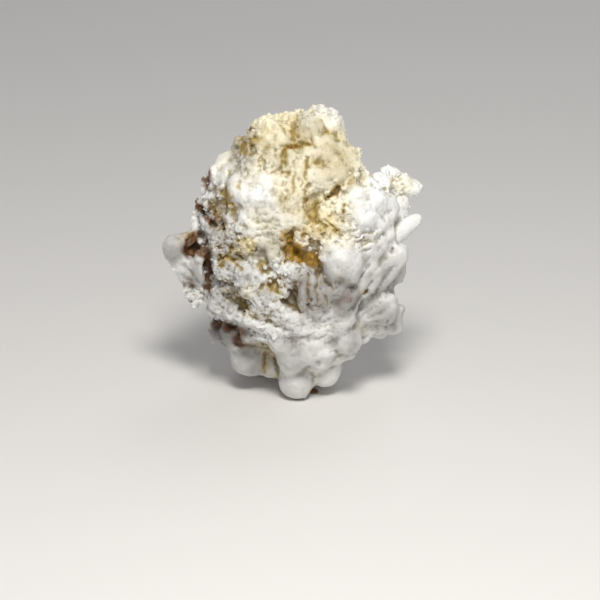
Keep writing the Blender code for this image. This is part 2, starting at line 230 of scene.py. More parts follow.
shoulder = {"boxy": 1, "rough": 0.12, "forms": [
    (-21.6, 26, 4.4, 3.5, 5.4, 3.2), (-23.9, 22.6, 3.4, 3.8, 5.4, 4.2), (-25.8, 20, 2.6, 1.9, 4.4, 3.8),
    (-21, 21.6, 2.6, 3.2, 4.2, 4.2), (-27.3, 15, 1.2, 2.7, 3.2, 2.9), (-23.6, 17.2, 1.6, 1.7, 3, 2.2, 20),
    (-18.4, 24.6, 3.2, 2.6, 4.4, 2.6),
]}
whiteBulge = {"boxy": 1, "rough": 0.13, "forms": [
    (-16.6, 17.6, 2.4, 4.8, 6, 6, 30), (-12.4, 15.6, 2.2, 4.6, 5.6, 5, 30), (-13.6, 20.4, 3, 4.4, 5.4, 3.8),
    (-18.8, 21.4, 3.2, 2.8, 4.6, 3.2), (-9.6, 19.6, 2.8, 3.6, 5, 5.2), (-8.2, 14.2, 2.4, 3.4, 4.6, 3.6),
    (-14.6, 11.6, 1.8, 4.2, 4.2, 2.4, 24), (-19.6, 14.2, 1.8, 2.4, 3.6, 3.4, 40),
    (-18, 16, 1.6, 1.6, 2.6, 1.4), (-12, 21.8, 2, 2.2, 3.4, 1.6),
]}
columns = {"boxy": 0.5, "rough": 0.05, "forms": [
    (-1.6, 26.6, 1.6, 3, 3, 2), (-2.6, 29, 1.8, 1.7, 2.8, 1.1), (1.6, 28.9, 1.6, 1.4, 2.8, 1.3),
    (-3.6, 17.4, 1.9, 1.4, 2.8, 6), (-0.4, 18, 1.6, 1.7, 3, 8, 2), (-6.4, 18.4, 2.2, 1.8, 3, 4.6),
    (-2.4, 23.4, 1.6, 2.2, 2.8, 1.6), (2.2, 25.8, 2, 2, 3.2, 4.4), (2, 20, 2.2, 1.8, 3.2, 4),
]}
plateau = {"boxy": 0.7, "rough": 0.1, "forms": [
    (-7, 10.8, 1.6, 5.4, 4, 2.4), (-3.6, 8.6, 1.2, 5, 3.8, 3), (-4.5, 4.6, 1.5, 3.8, 3.8, 2.6),
    (-11.6, 5.2, 1.4, 4.4, 3.6, 1.1, 4), (-10.6, 7.6, 1.6, 5, 3.8, 1, 2), (-9.8, 2.4, 1.2, 3.8, 3.4, 1.5, 4),
    (-14.6, 9.2, 1.6, 3.6, 3.6, 1.4, 10), (-7.5, -1.4, 1, 2.4, 3, 2), (-15, 5.6, 1.6, 2.6, 3.2, 1.5),
]}
frills = {"boxy": 1, "rough": 0.26, "forms": [
    (9, 13.5, 0.8, 2.2, 3, 2), (7, 11, 0.8, 1.7, 2.8, 1.8), (11, 11.6, 0.4, 1.9, 3, 2.2),
    (9, 8.6, 0.6, 2.2, 3, 2), (11.8, 8, 0.8, 1.5, 2.8, 1.8), (6.8, 8.2, 1.2, 1.5, 2.4, 1.4),
    (3, 5.8, 0.6, 1.4, 2.2, 1.1), (4.6, 4.4, 0.6, 1.5, 2.2, 1.3), (1.2, 6.6, 1, 1.3, 2, 0.9),
    (5.4, 6.6, 0.9, 1.1, 2, 1), (8.6, 5.8, 1.4, 2.8, 3, 1.6), (14.2, 7.4, 1, 1.8, 3, 2.2),
]}
rightLobe = {"boxy": 0.9, "rough": 0.12, "forms": [
    (16.8, 14.4, 0.4, 3.8, 5, 4.4), (18.6, 9.8, 0.2, 4.2, 5, 3.8), (21.4, 14.6, 0, 4.4, 5, 4.4),
    (25.4, 12.6, 0.2, 4.4, 4.8, 4.6, -20), (23, 8.4, 0.4, 3.8, 4.4, 3.2), (28.8, 14.2, 0.2, 2.8, 4.2, 3.8),
    (24.3, 20.2, 0.2, 3.4, 4, 2.2, -10), (20.9, 20, 1, 2.2, 3.4, 2), (27.2, 20.8, 0, 2.6, 3.4, 2.4),
    (30.6, 19.3, -0.2, 3.2, 3.6, 2.8), (34.4, 18.5, -0.2, 2.5, 2.8, 2.1, -12),
    (27.7, 23.4, 0.2, 1.7, 2.4, 1.6), (24.7, 23.6, 0.6, 0.8, 1.4, 1.3), (32, 21.2, 0, 1.6, 2.2, 1.3),
    (30.9, 14.6, 0.2, 2, 3, 3.2), (30.4, 11.4, 0.4, 1.9, 3, 2.2), (13.8, 12.4, 1, 1.7, 3.2, 4.6),
    (22.6, 22.4, 1, 0.6, 1.4, 0.9), (22.6, -0.4, 1.3, 2.8, 3.2, 2.2, -30), (19.8, 17.8, 0.6, 2.8, 3.6, 2),
    (17.2, 5.2, 1, 3.2, 3.8, 1.5, -10), (20.6, 4.8, 1, 2.8, 3.6, 1.2, -20), (25.6, 5.6, 0.8, 3, 3.8, 2.6),
    (29.8, 5, 0.5, 2.9, 3.2, 2.3, -40), (24.8, 0.6, 1.2, 3.4, 3.2, 2.4, -40),
    (20.6, -0.6, 1.4, 3, 3.2, 2.2, -30), (16.2, 1.4, 1, 2.4, 3.2, 1.3), (20, 1.6, 1.2, 3, 3.4, 1.1, -16),
    (23.4, 3.2, 1, 2.4, 3.4, 1.4, -20),
]}
snowball = {"boxy": 1, "rough": 0.09, "forms": [
    (11.4, -3.2, 0.6, 5, 5.6, 5), (14.6, -4.4, 0.4, 4, 5, 4.4), (9.8, 2, 1.2, 3.6, 4.4, 2.8),
    (13.4, 2.4, 1.2, 2.8, 4, 2.4), (16.4, -3.4, -0.6, 1.7, 2.2, 1.8), (14.6, -8.2, 0.8, 2.6, 3.2, 2),
    (9.4, -7.2, 1, 2.6, 3.6, 2.2), (16.6, -0.6, 0.6, 1.6, 3, 1.6), (7.6, -1.2, 1.4, 1.8, 3.4, 2.8),
]}
fanPlates = {"boxy": 0.7, "rough": 0.07, "forms": [
    (25, -4.6, 1.4, 5, 3.4, 8.6, -38), (29.4, -4.8, 1, 3.1, 2.8, 4.4), (30.6, 0.8, 1, 1.3, 2.2, 1.3),
    (28.8, -8.6, 1, 2.8, 2.6, 1.4), (30.3, -9.6, 0.9, 1.1, 1.8, 0.7), (22.4, -17.6, 1.5, 7.4, 3.4, 5.4),
    (28.4, -19.6, 1.2, 2.7, 2.6, 4, 10), (30.4, -24, 1.3, 1.3, 1.5, 1.2), (22, -22.9, 1.4, 5.4, 3.6, 2.6),
    (27.4, -23.8, 1.3, 3.4, 2.8, 1.5), (20, -8, 1.8, 4.6, 3.8, 6.4, -30), (30.2, -18, 1.2, 1.6, 2, 1.9),
    (18.4, -26.4, 1.6, 3, 3.4, 1.8), (23.4, -25.6, 1.6, 2.6, 3, 1), (27, -12.8, 1.3, 1.8, 2.4, 2.4),
]}
blades = {"boxy": 0.4, "rough": 0.03, "forms": [
    (1, -12.2, 0.2, 1.7, 2.8, 5.8, 2), (3.9, -11.4, 0.8, 1.3, 2.8, 5.6, 14), (6.3, -13, 0.1, 1.2, 2.6, 5, 24),
    (3, -17.6, 0.5, 2.6, 2.8, 1.6), (8.8, -12.2, 1.2, 1.2, 2.6, 3.4, -20), (11.6, -12, 1.2, 2, 2.6, 2.2),
    (13.9, -14.6, 0.3, 2.6, 2.2, 2.8, -35), (12, -18, 0.9, 2, 2.6, 1.7, 20), (5.4, -20.2, 1, 2.4, 2.8, 1.6),
    (-13.5, -8.9, 0.9, 1.6, 2.6, 4.2, 3), (-16.9, -7.6, 0.3, 1.9, 2.6, 2.9),
    (-33, -6.9, -0.6, 2, 1.8, 3.8, 36), (0.6, -6.8, 1.7, 2, 2.8, 2.2), (8.6, -17.2, 0.9, 1.5, 2.6, 2.2, 30),
    (13.6, -20.4, 0.9, 3, 3.2, 2.4, 20), (10.4, -23, 1, 2.6, 3.2, 1.8), (13, -23.6, 1.2, 2.4, 3.2, 1.6),
]}
knobs = {"boxy": 0.85, "rough": 0.24, "forms": [
    (-24, 3.6, 1.6, 2.6, 3.4, 2.2), (-21.6, 1.2, 1.2, 1.9, 2.8, 1.6), (-24.6, 0.2, 1.8, 1.8, 3, 1.8),
    (-19.6, 4.6, 0.8, 2.1, 2.6, 1.6), (-18.6, 2, 0.8, 1.5, 2.4, 1.3), (-16.2, 0.9, 0.4, 2.3, 2.4, 2),
    (-20.4, 7.2, 1.3, 1.6, 2.6, 1.5), (-17.4, 7.4, 1.6, 2.4, 3, 1.4), (-26, -2.2, 1.8, 1.4, 2.4, 1.2),
    (-23, -3.6, 1.2, 1.3, 2.2, 1.2), (-20.6, -4, 1, 1.1, 2, 1), (-25.6, -4.4, 1.4, 1.4, 2.4, 1.4),
    (-23.4, -7, 0.9, 2, 2.8, 1.6), (-20.6, -7.4, 0.5, 2.2, 2.8, 1.8), (-25.4, -10.8, 1.2, 2.4, 3.2, 1.5),
    (-22.4, -11.2, 1.2, 1.7, 2.8, 1), (-10.6, -8.4, 0.8, 1.5, 2.4, 1.5), (-3.4, -6.4, 0.4, 2.3, 2.6, 1.8),
    (-1.4, -4.6, 0.9, 1.5, 2.4, 1.3), (-7.4, -4.6, 0.9, 1.8, 2.4, 1.5), (-4.4, -12.2, 0.6, 1, 2, 1.8),
    (-9.4, -12, 0.6, 1.7, 2.2, 1.1), (-6.2, -12.8, 0.7, 1.4, 2, 1.2), (-3, -9.2, 0.9, 1.7, 2.4, 1.3),
]}
steps = {"boxy": 0.5, "rough": 0.1, "forms": [
    (-14.6, -12.6, 0.4, 3.4, 3.2, 1.7, -10), (-11, -14.4, 0.2, 3.2, 2.8, 1.3, -28),
    (-7, -17.4, -0.2, 8.4, 3, 2, -31), (-12.6, -18.2, 0.5, 3, 3.2, 1.8, -30),
    (-4, -20.6, 0.1, 5, 3, 1.5, -24), (-11.6, -22, 0.1, 5.8, 3.4, 1.8, -16),
    (-15.4, -24.6, 0.9, 2.5, 3.6, 3, 10), (-5.2, -24, 0.6, 4.4, 3.4, 1.7, 8),
    (-10.6, -25.8, 0.9, 3.6, 3.6, 1.3, -4), (1.2, -22.8, 0.6, 3.4, 3.2, 1.7, 12),
    (5.2, -23.6, 0.8, 2.8, 3.2, 1.9, -6), (8.6, -23.8, 1.1, 2.2, 3.4, 1.8), (-5.4, -26.6, 1.2, 3.4, 3.8, 1.5),
    (9, -21, 1, 1.9, 3, 1.4, 30), (1.6, -26.2, 1.2, 3, 3.4, 1.5, 6), (1.4, -20, 1.2, 2.4, 3, 1.4),
    (6.2, -26.4, 1.3, 2.8, 3.6, 1.8),
]}
lowerLeft = {"boxy": 0.85, "rough": 0.16, "forms": [
    (-23.6, -15.2, 1.2, 4.2, 4.6, 2.9), (-19.9, -18.4, 0.6, 3.6, 3.8, 2.2, -20),
    (-26.4, -17.4, 1.8, 1.8, 3.2, 2.4), (-22.4, -19.6, 0.7, 3.4, 3.6, 1.3, -14),
    (-17.4, -21.6, 0.5, 2.2, 3.4, 1.3, -10), (-26.8, -13.8, 1.8, 1.5, 3, 2.6),
    (-25, -25.4, 2.6, 2.8, 3.8, 2.2), (-22.4, -27, 3.6, 2.2, 3.2, 1.8), (-27.3, -22, 2.8, 1.3, 2.6, 1.7),
]}
nodules = {"boxy": 1, "rough": 0.07, "forms": [
    (-15.6, -32.6, 0.2, 5.8, 6.2, 5.8), (-9.6, -34, 2.6, 3, 4.6, 4.8), (-2.4, -31.6, -0.2, 5.2, 6.2, 5.8),
    (1.8, -30, -0.4, 4.6, 5.8, 4.6), (-1.1, -39.4, -4.8, 5.4, 6.8, 5), (-1.6, -35.8, -2, 4.4, 5.8, 3.6),
    (2.4, -36.4, -2.8, 4, 5.6, 3.6), (6.2, -33.2, -1.8, 3.6, 5.4, 3.2), (7.8, -36, -2.8, 4.6, 6, 5.2),
    (13.9, -26.6, -0.2, 4.7, 5.8, 4.6), (14.4, -30.4, 1, 2.6, 4.4, 2.2), (18.5, -28.2, 1.4, 0.9, 1.4, 0.9),
    (6.6, -29.6, -0.2, 4.6, 5.4, 4), (11, -31.4, 0.6, 3.2, 5, 3), (-6.6, -36.4, 1.6, 2, 4.4, 2.4),
    (4.2, -33.8, 0.4, 3, 5.2, 3.4), (-5.6, -28.2, 0.2, 4, 4.8, 3), (4, -27.4, 0.2, 5, 4.8, 2.6),
]}
wing = {"boxy": 0.9, "rough": 0.12, "forms": [
    (-38.2, 0.9, 0, 3.2, 4.2, 3.9), (-36.6, 3.2, 0.4, 2.4, 3.8, 1.6), (-36.2, -2.4, 0.8, 2.4, 3.8, 2.4),
    (-30, -12, 1.2, 1.5, 2.4, 2.8), (-32.9, -13.2, 0.2, 1.6, 2.2, 1.6), (-31.5, -16, 0.2, 1.4, 1.8, 1.3),
    (-30.6, -13.8, 0.6, 1.3, 1.8, 1.5), (-34, 4, 2.6, 2, 2.6, 1.2), (-31.4, 7, 2.6, 1.7, 2.2, 1.7),
    (-28.8, -3.6, 6, 4.4, 6, 9), (-33.6, 1.2, 4.6, 3.2, 3, 3.6), (-32, -4, 3.6, 3.2, 4, 5),
    (-32.6, -5.4, 0.2, 2.2, 3, 4.2, 32),
]}
edgeBits = {"boxy": 0.8, "rough": 0.3, "forms": [
    (-27.6, 23.1, 5.4, 1.2, 1.6, 1.5), (-29.2, 21, 5.4, 1.4, 1.8, 1.5), (-27.9, 18.6, 4.6, 1, 1.4, 1),
    (-29.4, 17.1, 4, 0.9, 1.4, 1), (-30.3, 14.1, 4, 1.1, 1.4, 1.5), (-31.2, 11.1, 4, 1.3, 1.5, 1.2),
    (-30.4, 12.6, 4, 0.9, 1.4, 0.8),
]}
displaySide = [crown, boulder, yellowDome, shoulder, whiteBulge, columns, plateau, frills, rightLobe,
               snowball, fanPlates, blades, knobs, steps, lowerLeft, nodules, wing, edgeBits]

# Ribs, ridges and thin branches: across, up, sink and half width at the root, then the same at the tip
ribs = {"rough": 0.12, "forms": [
    (14.5, -19.5, 0.5, 1.2, 21, 0.4, 0.3, 1.1), (15.6, -18.5, 0.3, 1.3, 25, 0.8, 0.1, 1.3),
    (17, -24.2, 0.4, 1.2, 29.6, -23.8, 0.4, 1), (9.9, 17.7, 1.2, 2.5, 3.9, 6.6, 1, 1.9),
    (-29.6, 11, 1, 1.1, -26.2, 4.6, 0.9, 1.5), (-25.6, 11.6, 0.8, 0.7, -25.2, 9, 0.8, 0.8),
    (-21.4, 11.8, 0.5, 1.1, -19.8, 7.8, 0.5, 1.3), (-38.4, -1.4, 0.4, 1.5, -34, -10.6, 0.4, 1.8),
    (-35.2, 0.4, 0.4, 0.5, -31.2, 3.4, 0.8, 0.7), (-21.4, -2.1, 1.2, 0.9, -15, -4.4, 1, 1),
    (-7.8, -8.4, 0.6, 0.6, -7.2, -4.6, 0.8, 0.6), (-5.6, -10.6, 0.6, 0.6, -5.2, -6.6, 0.6, 0.7),
    (-2.4, 12, 1.2, 0.8, -8.6, 12.4, 1.4, 0.8),
]}

# Plain lumps under the growths, from the heart: across, depth, height and half widths along each
core = {"boxy": 1, "rough": 0.05, "forms": [
    (-1.6, 6, 0, 25.8, 18.2, 37), (-1, 7, 2, 26, 19, 30), (-3, 8, 22, 15, 14, 17.2), (-6, 7, 14, 20, 15, 14),
    (-12, 6, -8, 17, 13, 14), (3, 8, -20, 17, 16, 17), (-7, 8, -24, 16, 13, 12), (16, 4, 9, 13, 10, 9),
    (17, 4, -11, 11, 10, 12), (-16.5, 6, -27, 8, 9, 7.5), (-10, 19, -42.2, 7, 6, 7),
    (6.4, 15, -43.2, 5.8, 9, 7), (-1, 19, -40.2, 10, 8, 12), (-2, 20, -28.2, 14, 8, 12),
]}

# Knobs of the far side: how many, their half widths, and how far the mass reaches left and right by height
farSide = {"knobs": 46, "halfWidths": (4.4, 7), "rough": 0.14, "reach": [
    (-42, -4, 8), (-36, -17, 10.5), (-30, -21, 14), (-25, -26.5, 28), (-18, -27, 29), (-12, -27, 27),
    (-3, -27, 30), (6, -28, 29), (15, -28.5, 30), (22, -27, 19), (27, -23, 16.5), (30, -20, 15.5),
    (36, -14, 12), (41, -2, 9),
]}


# A table as an array, its rows made equally long: a lean of 0 may be left out
def wholeRows(rows, count):
    return np.array([row + (0,) * (count - len(row)) for row in rows], dtype=float)


# Places in the frame of spots given as across, up and sink behind the egg's near face
def sunkPlaces(spots):
    across, up, sink = spots.T
    return fromView(across, up, eggFace(across, up)[0] + sink)


def displayForms(group, salt):
    forms = wholeRows(group["forms"], 7)
    places = sunkPlaces(forms[:, :3])
    return lumpSurfaces(places, forms[:, 3:6], forms[:, 6], group["boxy"], group["rough"], salt)


def ribForms(group, salt):
    forms = np.array(group["forms"])
    roots, tips = sunkPlaces(forms[:, :3]), sunkPlaces(forms[:, 4:7])
    return ribSurfaces(roots, tips, forms[:, 3], forms[:, 7], group["rough"], salt)


def coreForms(group, salt):
    forms = np.array(group["forms"])
    upright = np.zeros(len(forms))
    places = forms[:, :3] + heartPlace
    return lumpSurfaces(places, forms[:, 3:], upright, group["boxy"], group["rough"], salt, 48, 28)


# Far side: knobs spread by two golden fractions between the left and right reach, on the egg's far face
def farForms(group, salt):
    rng = np.random.default_rng(salt)
    number = np.arange(1, group["knobs"] + 1)
    width = rng.uniform(*group["halfWidths"], len(number))
    reach = np.array(group["reach"], dtype=float)
    low, high = reach[0, 0], reach[-1, 0]
    up = low + width + (number * 0.7549 % 1) * (high - low - 2 * width)
    spread = up[:, None] + width[:, None] * np.linspace(-1, 1, 5)
    left = np.interp(spread, reach[:, 0], reach[:, 1]).max(axis=1) + width + 1
    right = np.interp(spread, reach[:, 0], reach[:, 2]).min(axis=1) - width - 1
    across = left + (number * 0.5698 % 1) * (right - left)
    places = fromView(across, up, eggFace(across, up)[1] - width * 0.4 - 0.3)
    halfWidths = width[:, None] * np.array([1.0, 0.9, 1.0])
    return lumpSurfaces(places, halfWidths, np.zeros(len(number)), 1.0, group["rough"], salt)


# One mesh object from several pairs of corners and faces
def joinedObject(name, shapes):
    corners, faces, count = [], [], 0
    for places, sides in shapes:
        corners.append(places)
        faces.extend((sides + count).tolist())
        count += len(places)
    mesh = bpy.data.meshes.new(name)
    mesh.from_pydata((np.concatenate(corners) * mm).tolist(), [], faces)
    piece = bpy.data.objects.new(name, mesh)
    bpy.context.scene.collection.objects.link(piece)
    return piece


def applyAll(piece):
    graph = bpy.context.evaluated_depsgraph_get()
    skin = bpy.data.meshes.new_from_object(piece.evaluated_get(graph))
    piece.modifiers.clear()
    old = piece.data
    piece.data = skin
    bpy.data.meshes.remove(old)


def fused(piece, voxel):
    fuse = piece.modifiers.new("fuse", "REMESH")
    fuse.mode = "VOXEL"
    fuse.voxel_size = voxel * mm
    applyAll(piece)


def cutAway(piece, tool):
    cut = piece.modifiers.new("cut", "BOOLEAN")
    cut.operation = "DIFFERENCE"
    cut.solver = "MANIFOLD"
    cut.object = tool
    applyAll(piece)
    bpy.data.objects.remove(tool)


def cornersOf(mesh):
    places = np.empty(len(mesh.vertices) * 3)
    mesh.vertices.foreach_get("co", places)
    return places.reshape(-1, 3) / mm


def normalsOf(mesh):
    normals = np.empty(len(mesh.vertices) * 3)
    mesh.vertex_normals.foreach_get("vector", normals)
    return normals.reshape(-1, 3)


def edgesOf(mesh):
    edges = np.empty(len(mesh.edges) * 2, dtype=np.int32)
    mesh.edges.foreach_get("vertices", edges)
    return edges.reshape(-1, 2)


def moveCorners(mesh, places):
    mesh.vertices.foreach_set("co", (places * mm).ravel())
    mesh.update()


def triangleCount(mesh):
    return sum(len(face.vertices) - 2 for face in mesh.polygons)


# Deep hollows, given as the big forms are
hollows = {"boxy": 1, "rough": 0.3, "forms": [
    (0.2, 1, -2.2, 5, 4.2, 5.6), (3.6, -1.6, -2.2, 2.8, 3.8, 3.2, 10), (-3.2, 2.4, -2.2, 2.2, 3.6, 4.8),
    (-0.8, -1.4, 0, 1.6, 4, 1.8), (-28, -1.2, -1.6, 2.5, 5.4, 4.8), (-27.9, -7.4, -1.8, 2, 5.4, 5.4, 6),
    (-31.2, 0.4, -0.8, 3.5, 3.2, 3, 20), (-21.8, -23, -1.6, 5.6, 3.4, 1.5, -17),
    (-24.4, 8.6, -1.4, 1.3, 3.4, 3.4, 34), (-5.4, -9, -2, 1.2, 3.6, 3.4), (-10.8, -5.8, -1.8, 1.3, 3.4, 1.9),
    (-1.6, -13.6, -1.8, 1.2, 3.6, 3.2), (-28.2, 10.6, -1.4, 0.8, 3.6, 2.6, 35),
]}

# The finger at the right, added after the swells so that it stays smooth: two ribs, given as the others are
finger = {"rough": 0.05, "forms": [
    (26.6, 2.8, 0.4, 3.1, 34.6, 9, 0, 2.2), (26.4, 1.8, 0.8, 2, 30.8, 5.2, 0.4, 1.8),
]}

# Lumps added after the swells in the hollows and under the lowest knob, given as the big forms are
inHollows = {"boxy": 0.8, "rough": 0.3, "forms": [
    (0.2, 2, 0.6, 2.3, 2.4, 1.3), (1.6, 3.4, 0.4, 1, 1.8, 0.9), (-1.2, 3.4, 0.8, 0.8, 1.6, 0.9),
    (-0.2, 4.8, 1.2, 1.5, 2.2, 1.4), (4.2, 4.6, 0.4, 1.4, 2, 1.2), (-33, 2.6, 1, 0.9, 1.8, 2.6, -48),
    (-34.4, 4.4, 0.6, 1, 1.4, 0.8), (-31.4, 4.8, 1.2, 0.9, 1.4, 0.8), (-29.8, 2.4, 1.6, 0.9, 1.6, 1.6, 20),
    (-31, -1, 1.8, 0.9, 1.4, 0.7), (-32.8, -0.4, 1.4, 0.8, 1.4, 0.7, 30), (-30.2, -1.2, 2.2, 1.1, 2, 1.3),
    (-5, -8.2, 0.9, 0.5, 1.4, 1.6, 10), (-10.4, -5.2, 0.8, 0.7, 1.4, 0.6),
    (-22.6, 9.8, 0.4, 0.7, 1.4, 1.3, 30), (-27.4, 9, 0.6, 0.6, 1.4, 1), (4.2, -42.8, 0.2, 1.5, 2, 1.2, -25),
]}

# The fan: ribs spread from one root, round on top and sharp between. The root is across and up, the count
# is for half a turn, the noise that bends the ribs has an angle and a size, and spots say where they show.
fanRibs = {
    "root": (11.5, -25.5), "count": 17.0, "height": 0.55, "level": 0.6, "bend": 0.07, "bendSize": 6.0,
    "where": [(24, -6.5, 8, 10, 1, -20), (25.5, -18.5, 7, 6.5, 0.75), (19.5, -11, 4, 8, 0.8, -25)],
}

# Cracks and grooves drawn on the display side, stained or plain: from across, up to across, up, then half
# width, depth, and how much ochre and rust they carry
cracks = [
    (-4.8, 30.3, -0.4, 31, 0.7, 0.8, 0.6, 0.1), (-3, 31, -1.6, 29.8, 0.5, 0.6, 0.5, 0.1),
    (-0.9, 33.9, -0.6, 33.2, 0.5, 0.6, 0.5, 0.1), (-4.6, 30, -4.6, 25.4, 0.6, 0.6, 0.85, 0.1),
    (-5.3, 26, -5.7, 22.8, 0.3, 0.5, 0.5, 0.2), (-5.4, 22.4, -3.6, 22, 0.45, 0.6, 0.5, 0.1),
    (1.6, 27.2, 2.8, 27.1, 0.25, 0.5, 0.3, 0.6), (3.6, 33, 4.8, 25.6, 0.8, 0.5, 0.5, 0),
    (0.8, 31.2, 3, 31, 0.5, 0.5, 0.7, 0.3), (2.2, 27, 1.6, 21, 0.5, 0.7, 0.6, 0),
    (1.6, 21, 2.4, 19, 0.5, 0.6, 0.55, 0), (1.4, 17, 0.8, 12, 0.4, 0.7, 0.65, 0),
    (-2.4, 21.4, -2.2, 16.4, 0.3, 0.4, 0.5, 0), (-4.2, 21, -4.4, 15, 0.3, 0.4, 0.35, 0),
    (-2, 39, -1.8, 35.4, 0.4, 0.6, 0.4, 0), (-2.2, 37, -1.8, 32.4, 0.6, 0.8, 0.6, 0),
    (-1, 39.2, 0.4, 41.4, 0.5, 0.7, 0.5, 0), (6.4, 38.6, 7.8, 35.2, 0.7, 0.7, 0.85, 0),
    (-17.4, 33.4, -16.6, 28.4, 0.7, 0.7, 0.8, 0.15), (-14.4, 35.8, -13.8, 35, 0.4, 0.5, 0.4, 0.5),
    (-15, 31.4, -14.6, 27.6, 0.4, 0.5, 0.45, 0.1), (-6, 36.8, -4.4, 34.6, 0.5, 0.4, 0.5, 0),
    (-11, 32.6, -13.2, 32.8, 0.6, 0.3, 0.5, 0), (-18.1, 18.4, -17.8, 19.4, 0.5, 0.6, 0.8, 0),
    (-25.4, 18.2, -24.8, 16.8, 0.5, 0.8, 0.85, 0.2), (-22.8, 17.2, -20, 12.2, 1, 1, 0.7, 0.25),
    (-21.2, 22.6, -22.4, 17, 0.8, 0.7, 0.35, 0.1), (-29.6, 12.6, -25.8, 7.6, 0.8, 1.6, 0.3, 0.75),
    (-26, 13.4, -22, 5.4, 1.1, 1.4, 0.5, 0.5), (-30.4, 16.4, -28.8, 14.4, 0.5, 0.5, 0.3, 0.4),
    (12.9, 12.6, 12.7, 8.4, 0.45, 0.7, 0.8, 0), (4.6, 13.4, 3.6, 9.4, 0.9, 0.8, 0.6, 0),
    (3.8, 9.8, 7.2, 6.6, 0.9, 0.9, 0.75, 0), (7.8, 14.8, 11.4, 18.2, 0.45, 2.2, 0.9, 0.6),
    (11.4, 18.2, 15, 21.6, 0.5, 0.6, 0.4, 0), (14.2, 19.4, 16.2, 21, 0.6, 0.5, 0.55, 0),
    (7.6, 8.4, 11.8, 5.2, 0.5, 0.7, 0.75, 0), (9.6, 5.4, 12.6, 4.2, 0.3, 0.5, 0.6, 0),
    (8.2, 12.6, 9.4, 11, 0.4, 0.5, 0.4, 0), (17, 4, 21.6, 5.4, 0.4, 0.7, 0.1, 0),
    (17.4, 0.6, 21, 2.6, 0.35, 0.7, 0.1, 0), (17.6, -1, 21, 0.4, 0.3, 0.6, 0.1, 0),
    (15.4, -11.4, 20.4, -4.4, 0.35, 0.9, 0.05, 0), (19.2, -13, 21.2, -9.6, 0.3, 0.9, 0.2, 0),
    (19.6, -12.4, 20.1, -12, 0.4, 1.6, 0.2, 0.4), (27.2, -0.6, 27.4, 0.2, 0.35, 1.4, 0.2, 0.2),
    (26, -22.8, 26.2, -21.2, 0.3, 0.9, 0, 0.2), (6, -6.6, 10.2, -11.6, 0.5, 1.1, 0.1, 0),
    (10.2, -11.6, 11, -9, 0.3, 0.7, 0.3, 0), (6.4, -11.8, 8.8, -17.4, 0.45, 0.9, 0.1, 0),
    (2.5, -7, 2.7, -17.4, 0.45, 1.3, 0, 0), (5.3, -7, 4.8, -16.6, 0.4, 1.1, 0, 0),
    (0.2, -8, -0.4, -16.6, 0.3, 0.7, 0, 0), (-9, -11, -3, -15.6, 0.7, 1.2, 0.5, 0.1),
    (-3, -15.6, 0.6, -18.6, 0.5, 1, 0.4, 0), (-18.2, -13.6, -13.2, -20.4, 0.8, 1.2, 0.45, 0.2),
    (-17.8, -24, -19.4, -28, 0.6, 1.2, 0.2, 0.4), (-23.4, -2.4, -18.6, -3.2, 0.6, 1.1, 0.9, 0.3),
    (-23.4, -2.4, -23.2, -5, 0.5, 1, 0.8, 0.2), (-20.4, 0.4, -17.4, -2.4, 0.5, 0.9, 0.8, 0.1),
    (-19.6, -3.6, -17.8, -6, 0.6, 0.9, 0.8, 0.1), (-17.8, 2.6, -13.6, -0.6, 0.4, 0.6, 0.7, 0),
    (-23, -11.6, -21.6, -12.6, 0.4, 0.9, 0.7, 0.2), (-24.6, -8.8, -20.4, -9.8, 0.5, 0.9, 0.4, 0.3),
    (-16.2, -13.8, -14.6, -15.2, 0.5, 0.7, 0.5, 0.1), (-11, -30.6, -10.6, -37, 0.4, 0.6, 0.4, 0),
    (-7.4, -33.6, -6.6, -38.4, 0.45, 0.8, 0.55, 0), (-18, -28.4, -9.6, -28.8, 0.7, 0.7, 0.45, 0.3),
    (4.4, -42, 3.8, -37.6, 0.6, 0.6, 0.1, 0), (3.8, -37, 5.2, -33.4, 0.5, 0.35, 0, 0),
    (-6.4, -36.2, 1.6, -36.2, 0.4, 0.35, 0.1, 0), (9.6, -30.4, 13.4, -31.4, 0.35, 0.7, 0.15, 0),
    (-12, 25, -9.6, 22.6, 0.3, 0.4, 0.3, 0), (-9.6, 22.6, -6.6, 22.6, 0.3, 0.3, 0.3, 0),
    (-12.6, 5.4, -7, 6.4, 0.25, 0.5, 0, 0), (-13.2, 7.8, -8, 8.8, 0.25, 0.4, 0, 0),
    (-14.4, 3.2, -8.4, 4.4, 0.3, 0.6, 0.1, 0), (-12, 10.2, -6, 10.2, 0.25, 0.4, 0.1, 0),
    (21, 22, 21.4, 19, 0.3, 0.6, 0.4, 0), (22.4, 18.6, 25.4, 17.8, 0.3, 0.5, 0.2, 0),
    (27.4, 22.4, 28, 18.6, 0.4, 0.5, 0.3, 0), (24, 9.4, 25.2, 8.2, 0.3, 0.4, 0.2, 0),
    (26, 11, 29.4, 12.8, 0.3, 0.4, 0, 0), (19, 6.8, 24.6, 6.2, 0.3, 0.4, 0.1, 0),
]

# How the drawn cracks waver: size, throw and salt of the noises that bend them, the same for their edge,
# the least half width that is added, and how deep behind the face they show, softly
waver = {"bends": [(2.6, 0.5, 92), (1, 0.25, 93)], "edge": (1.3, 0.45, 91), "least": 0.12, "reach": (7, 1.5)}

# How stains fray behind the face: how far they stray per millimetre of sink, up to which sink, noise size
fray = {"share": 0.35, "most": 12, "size": 2.8}

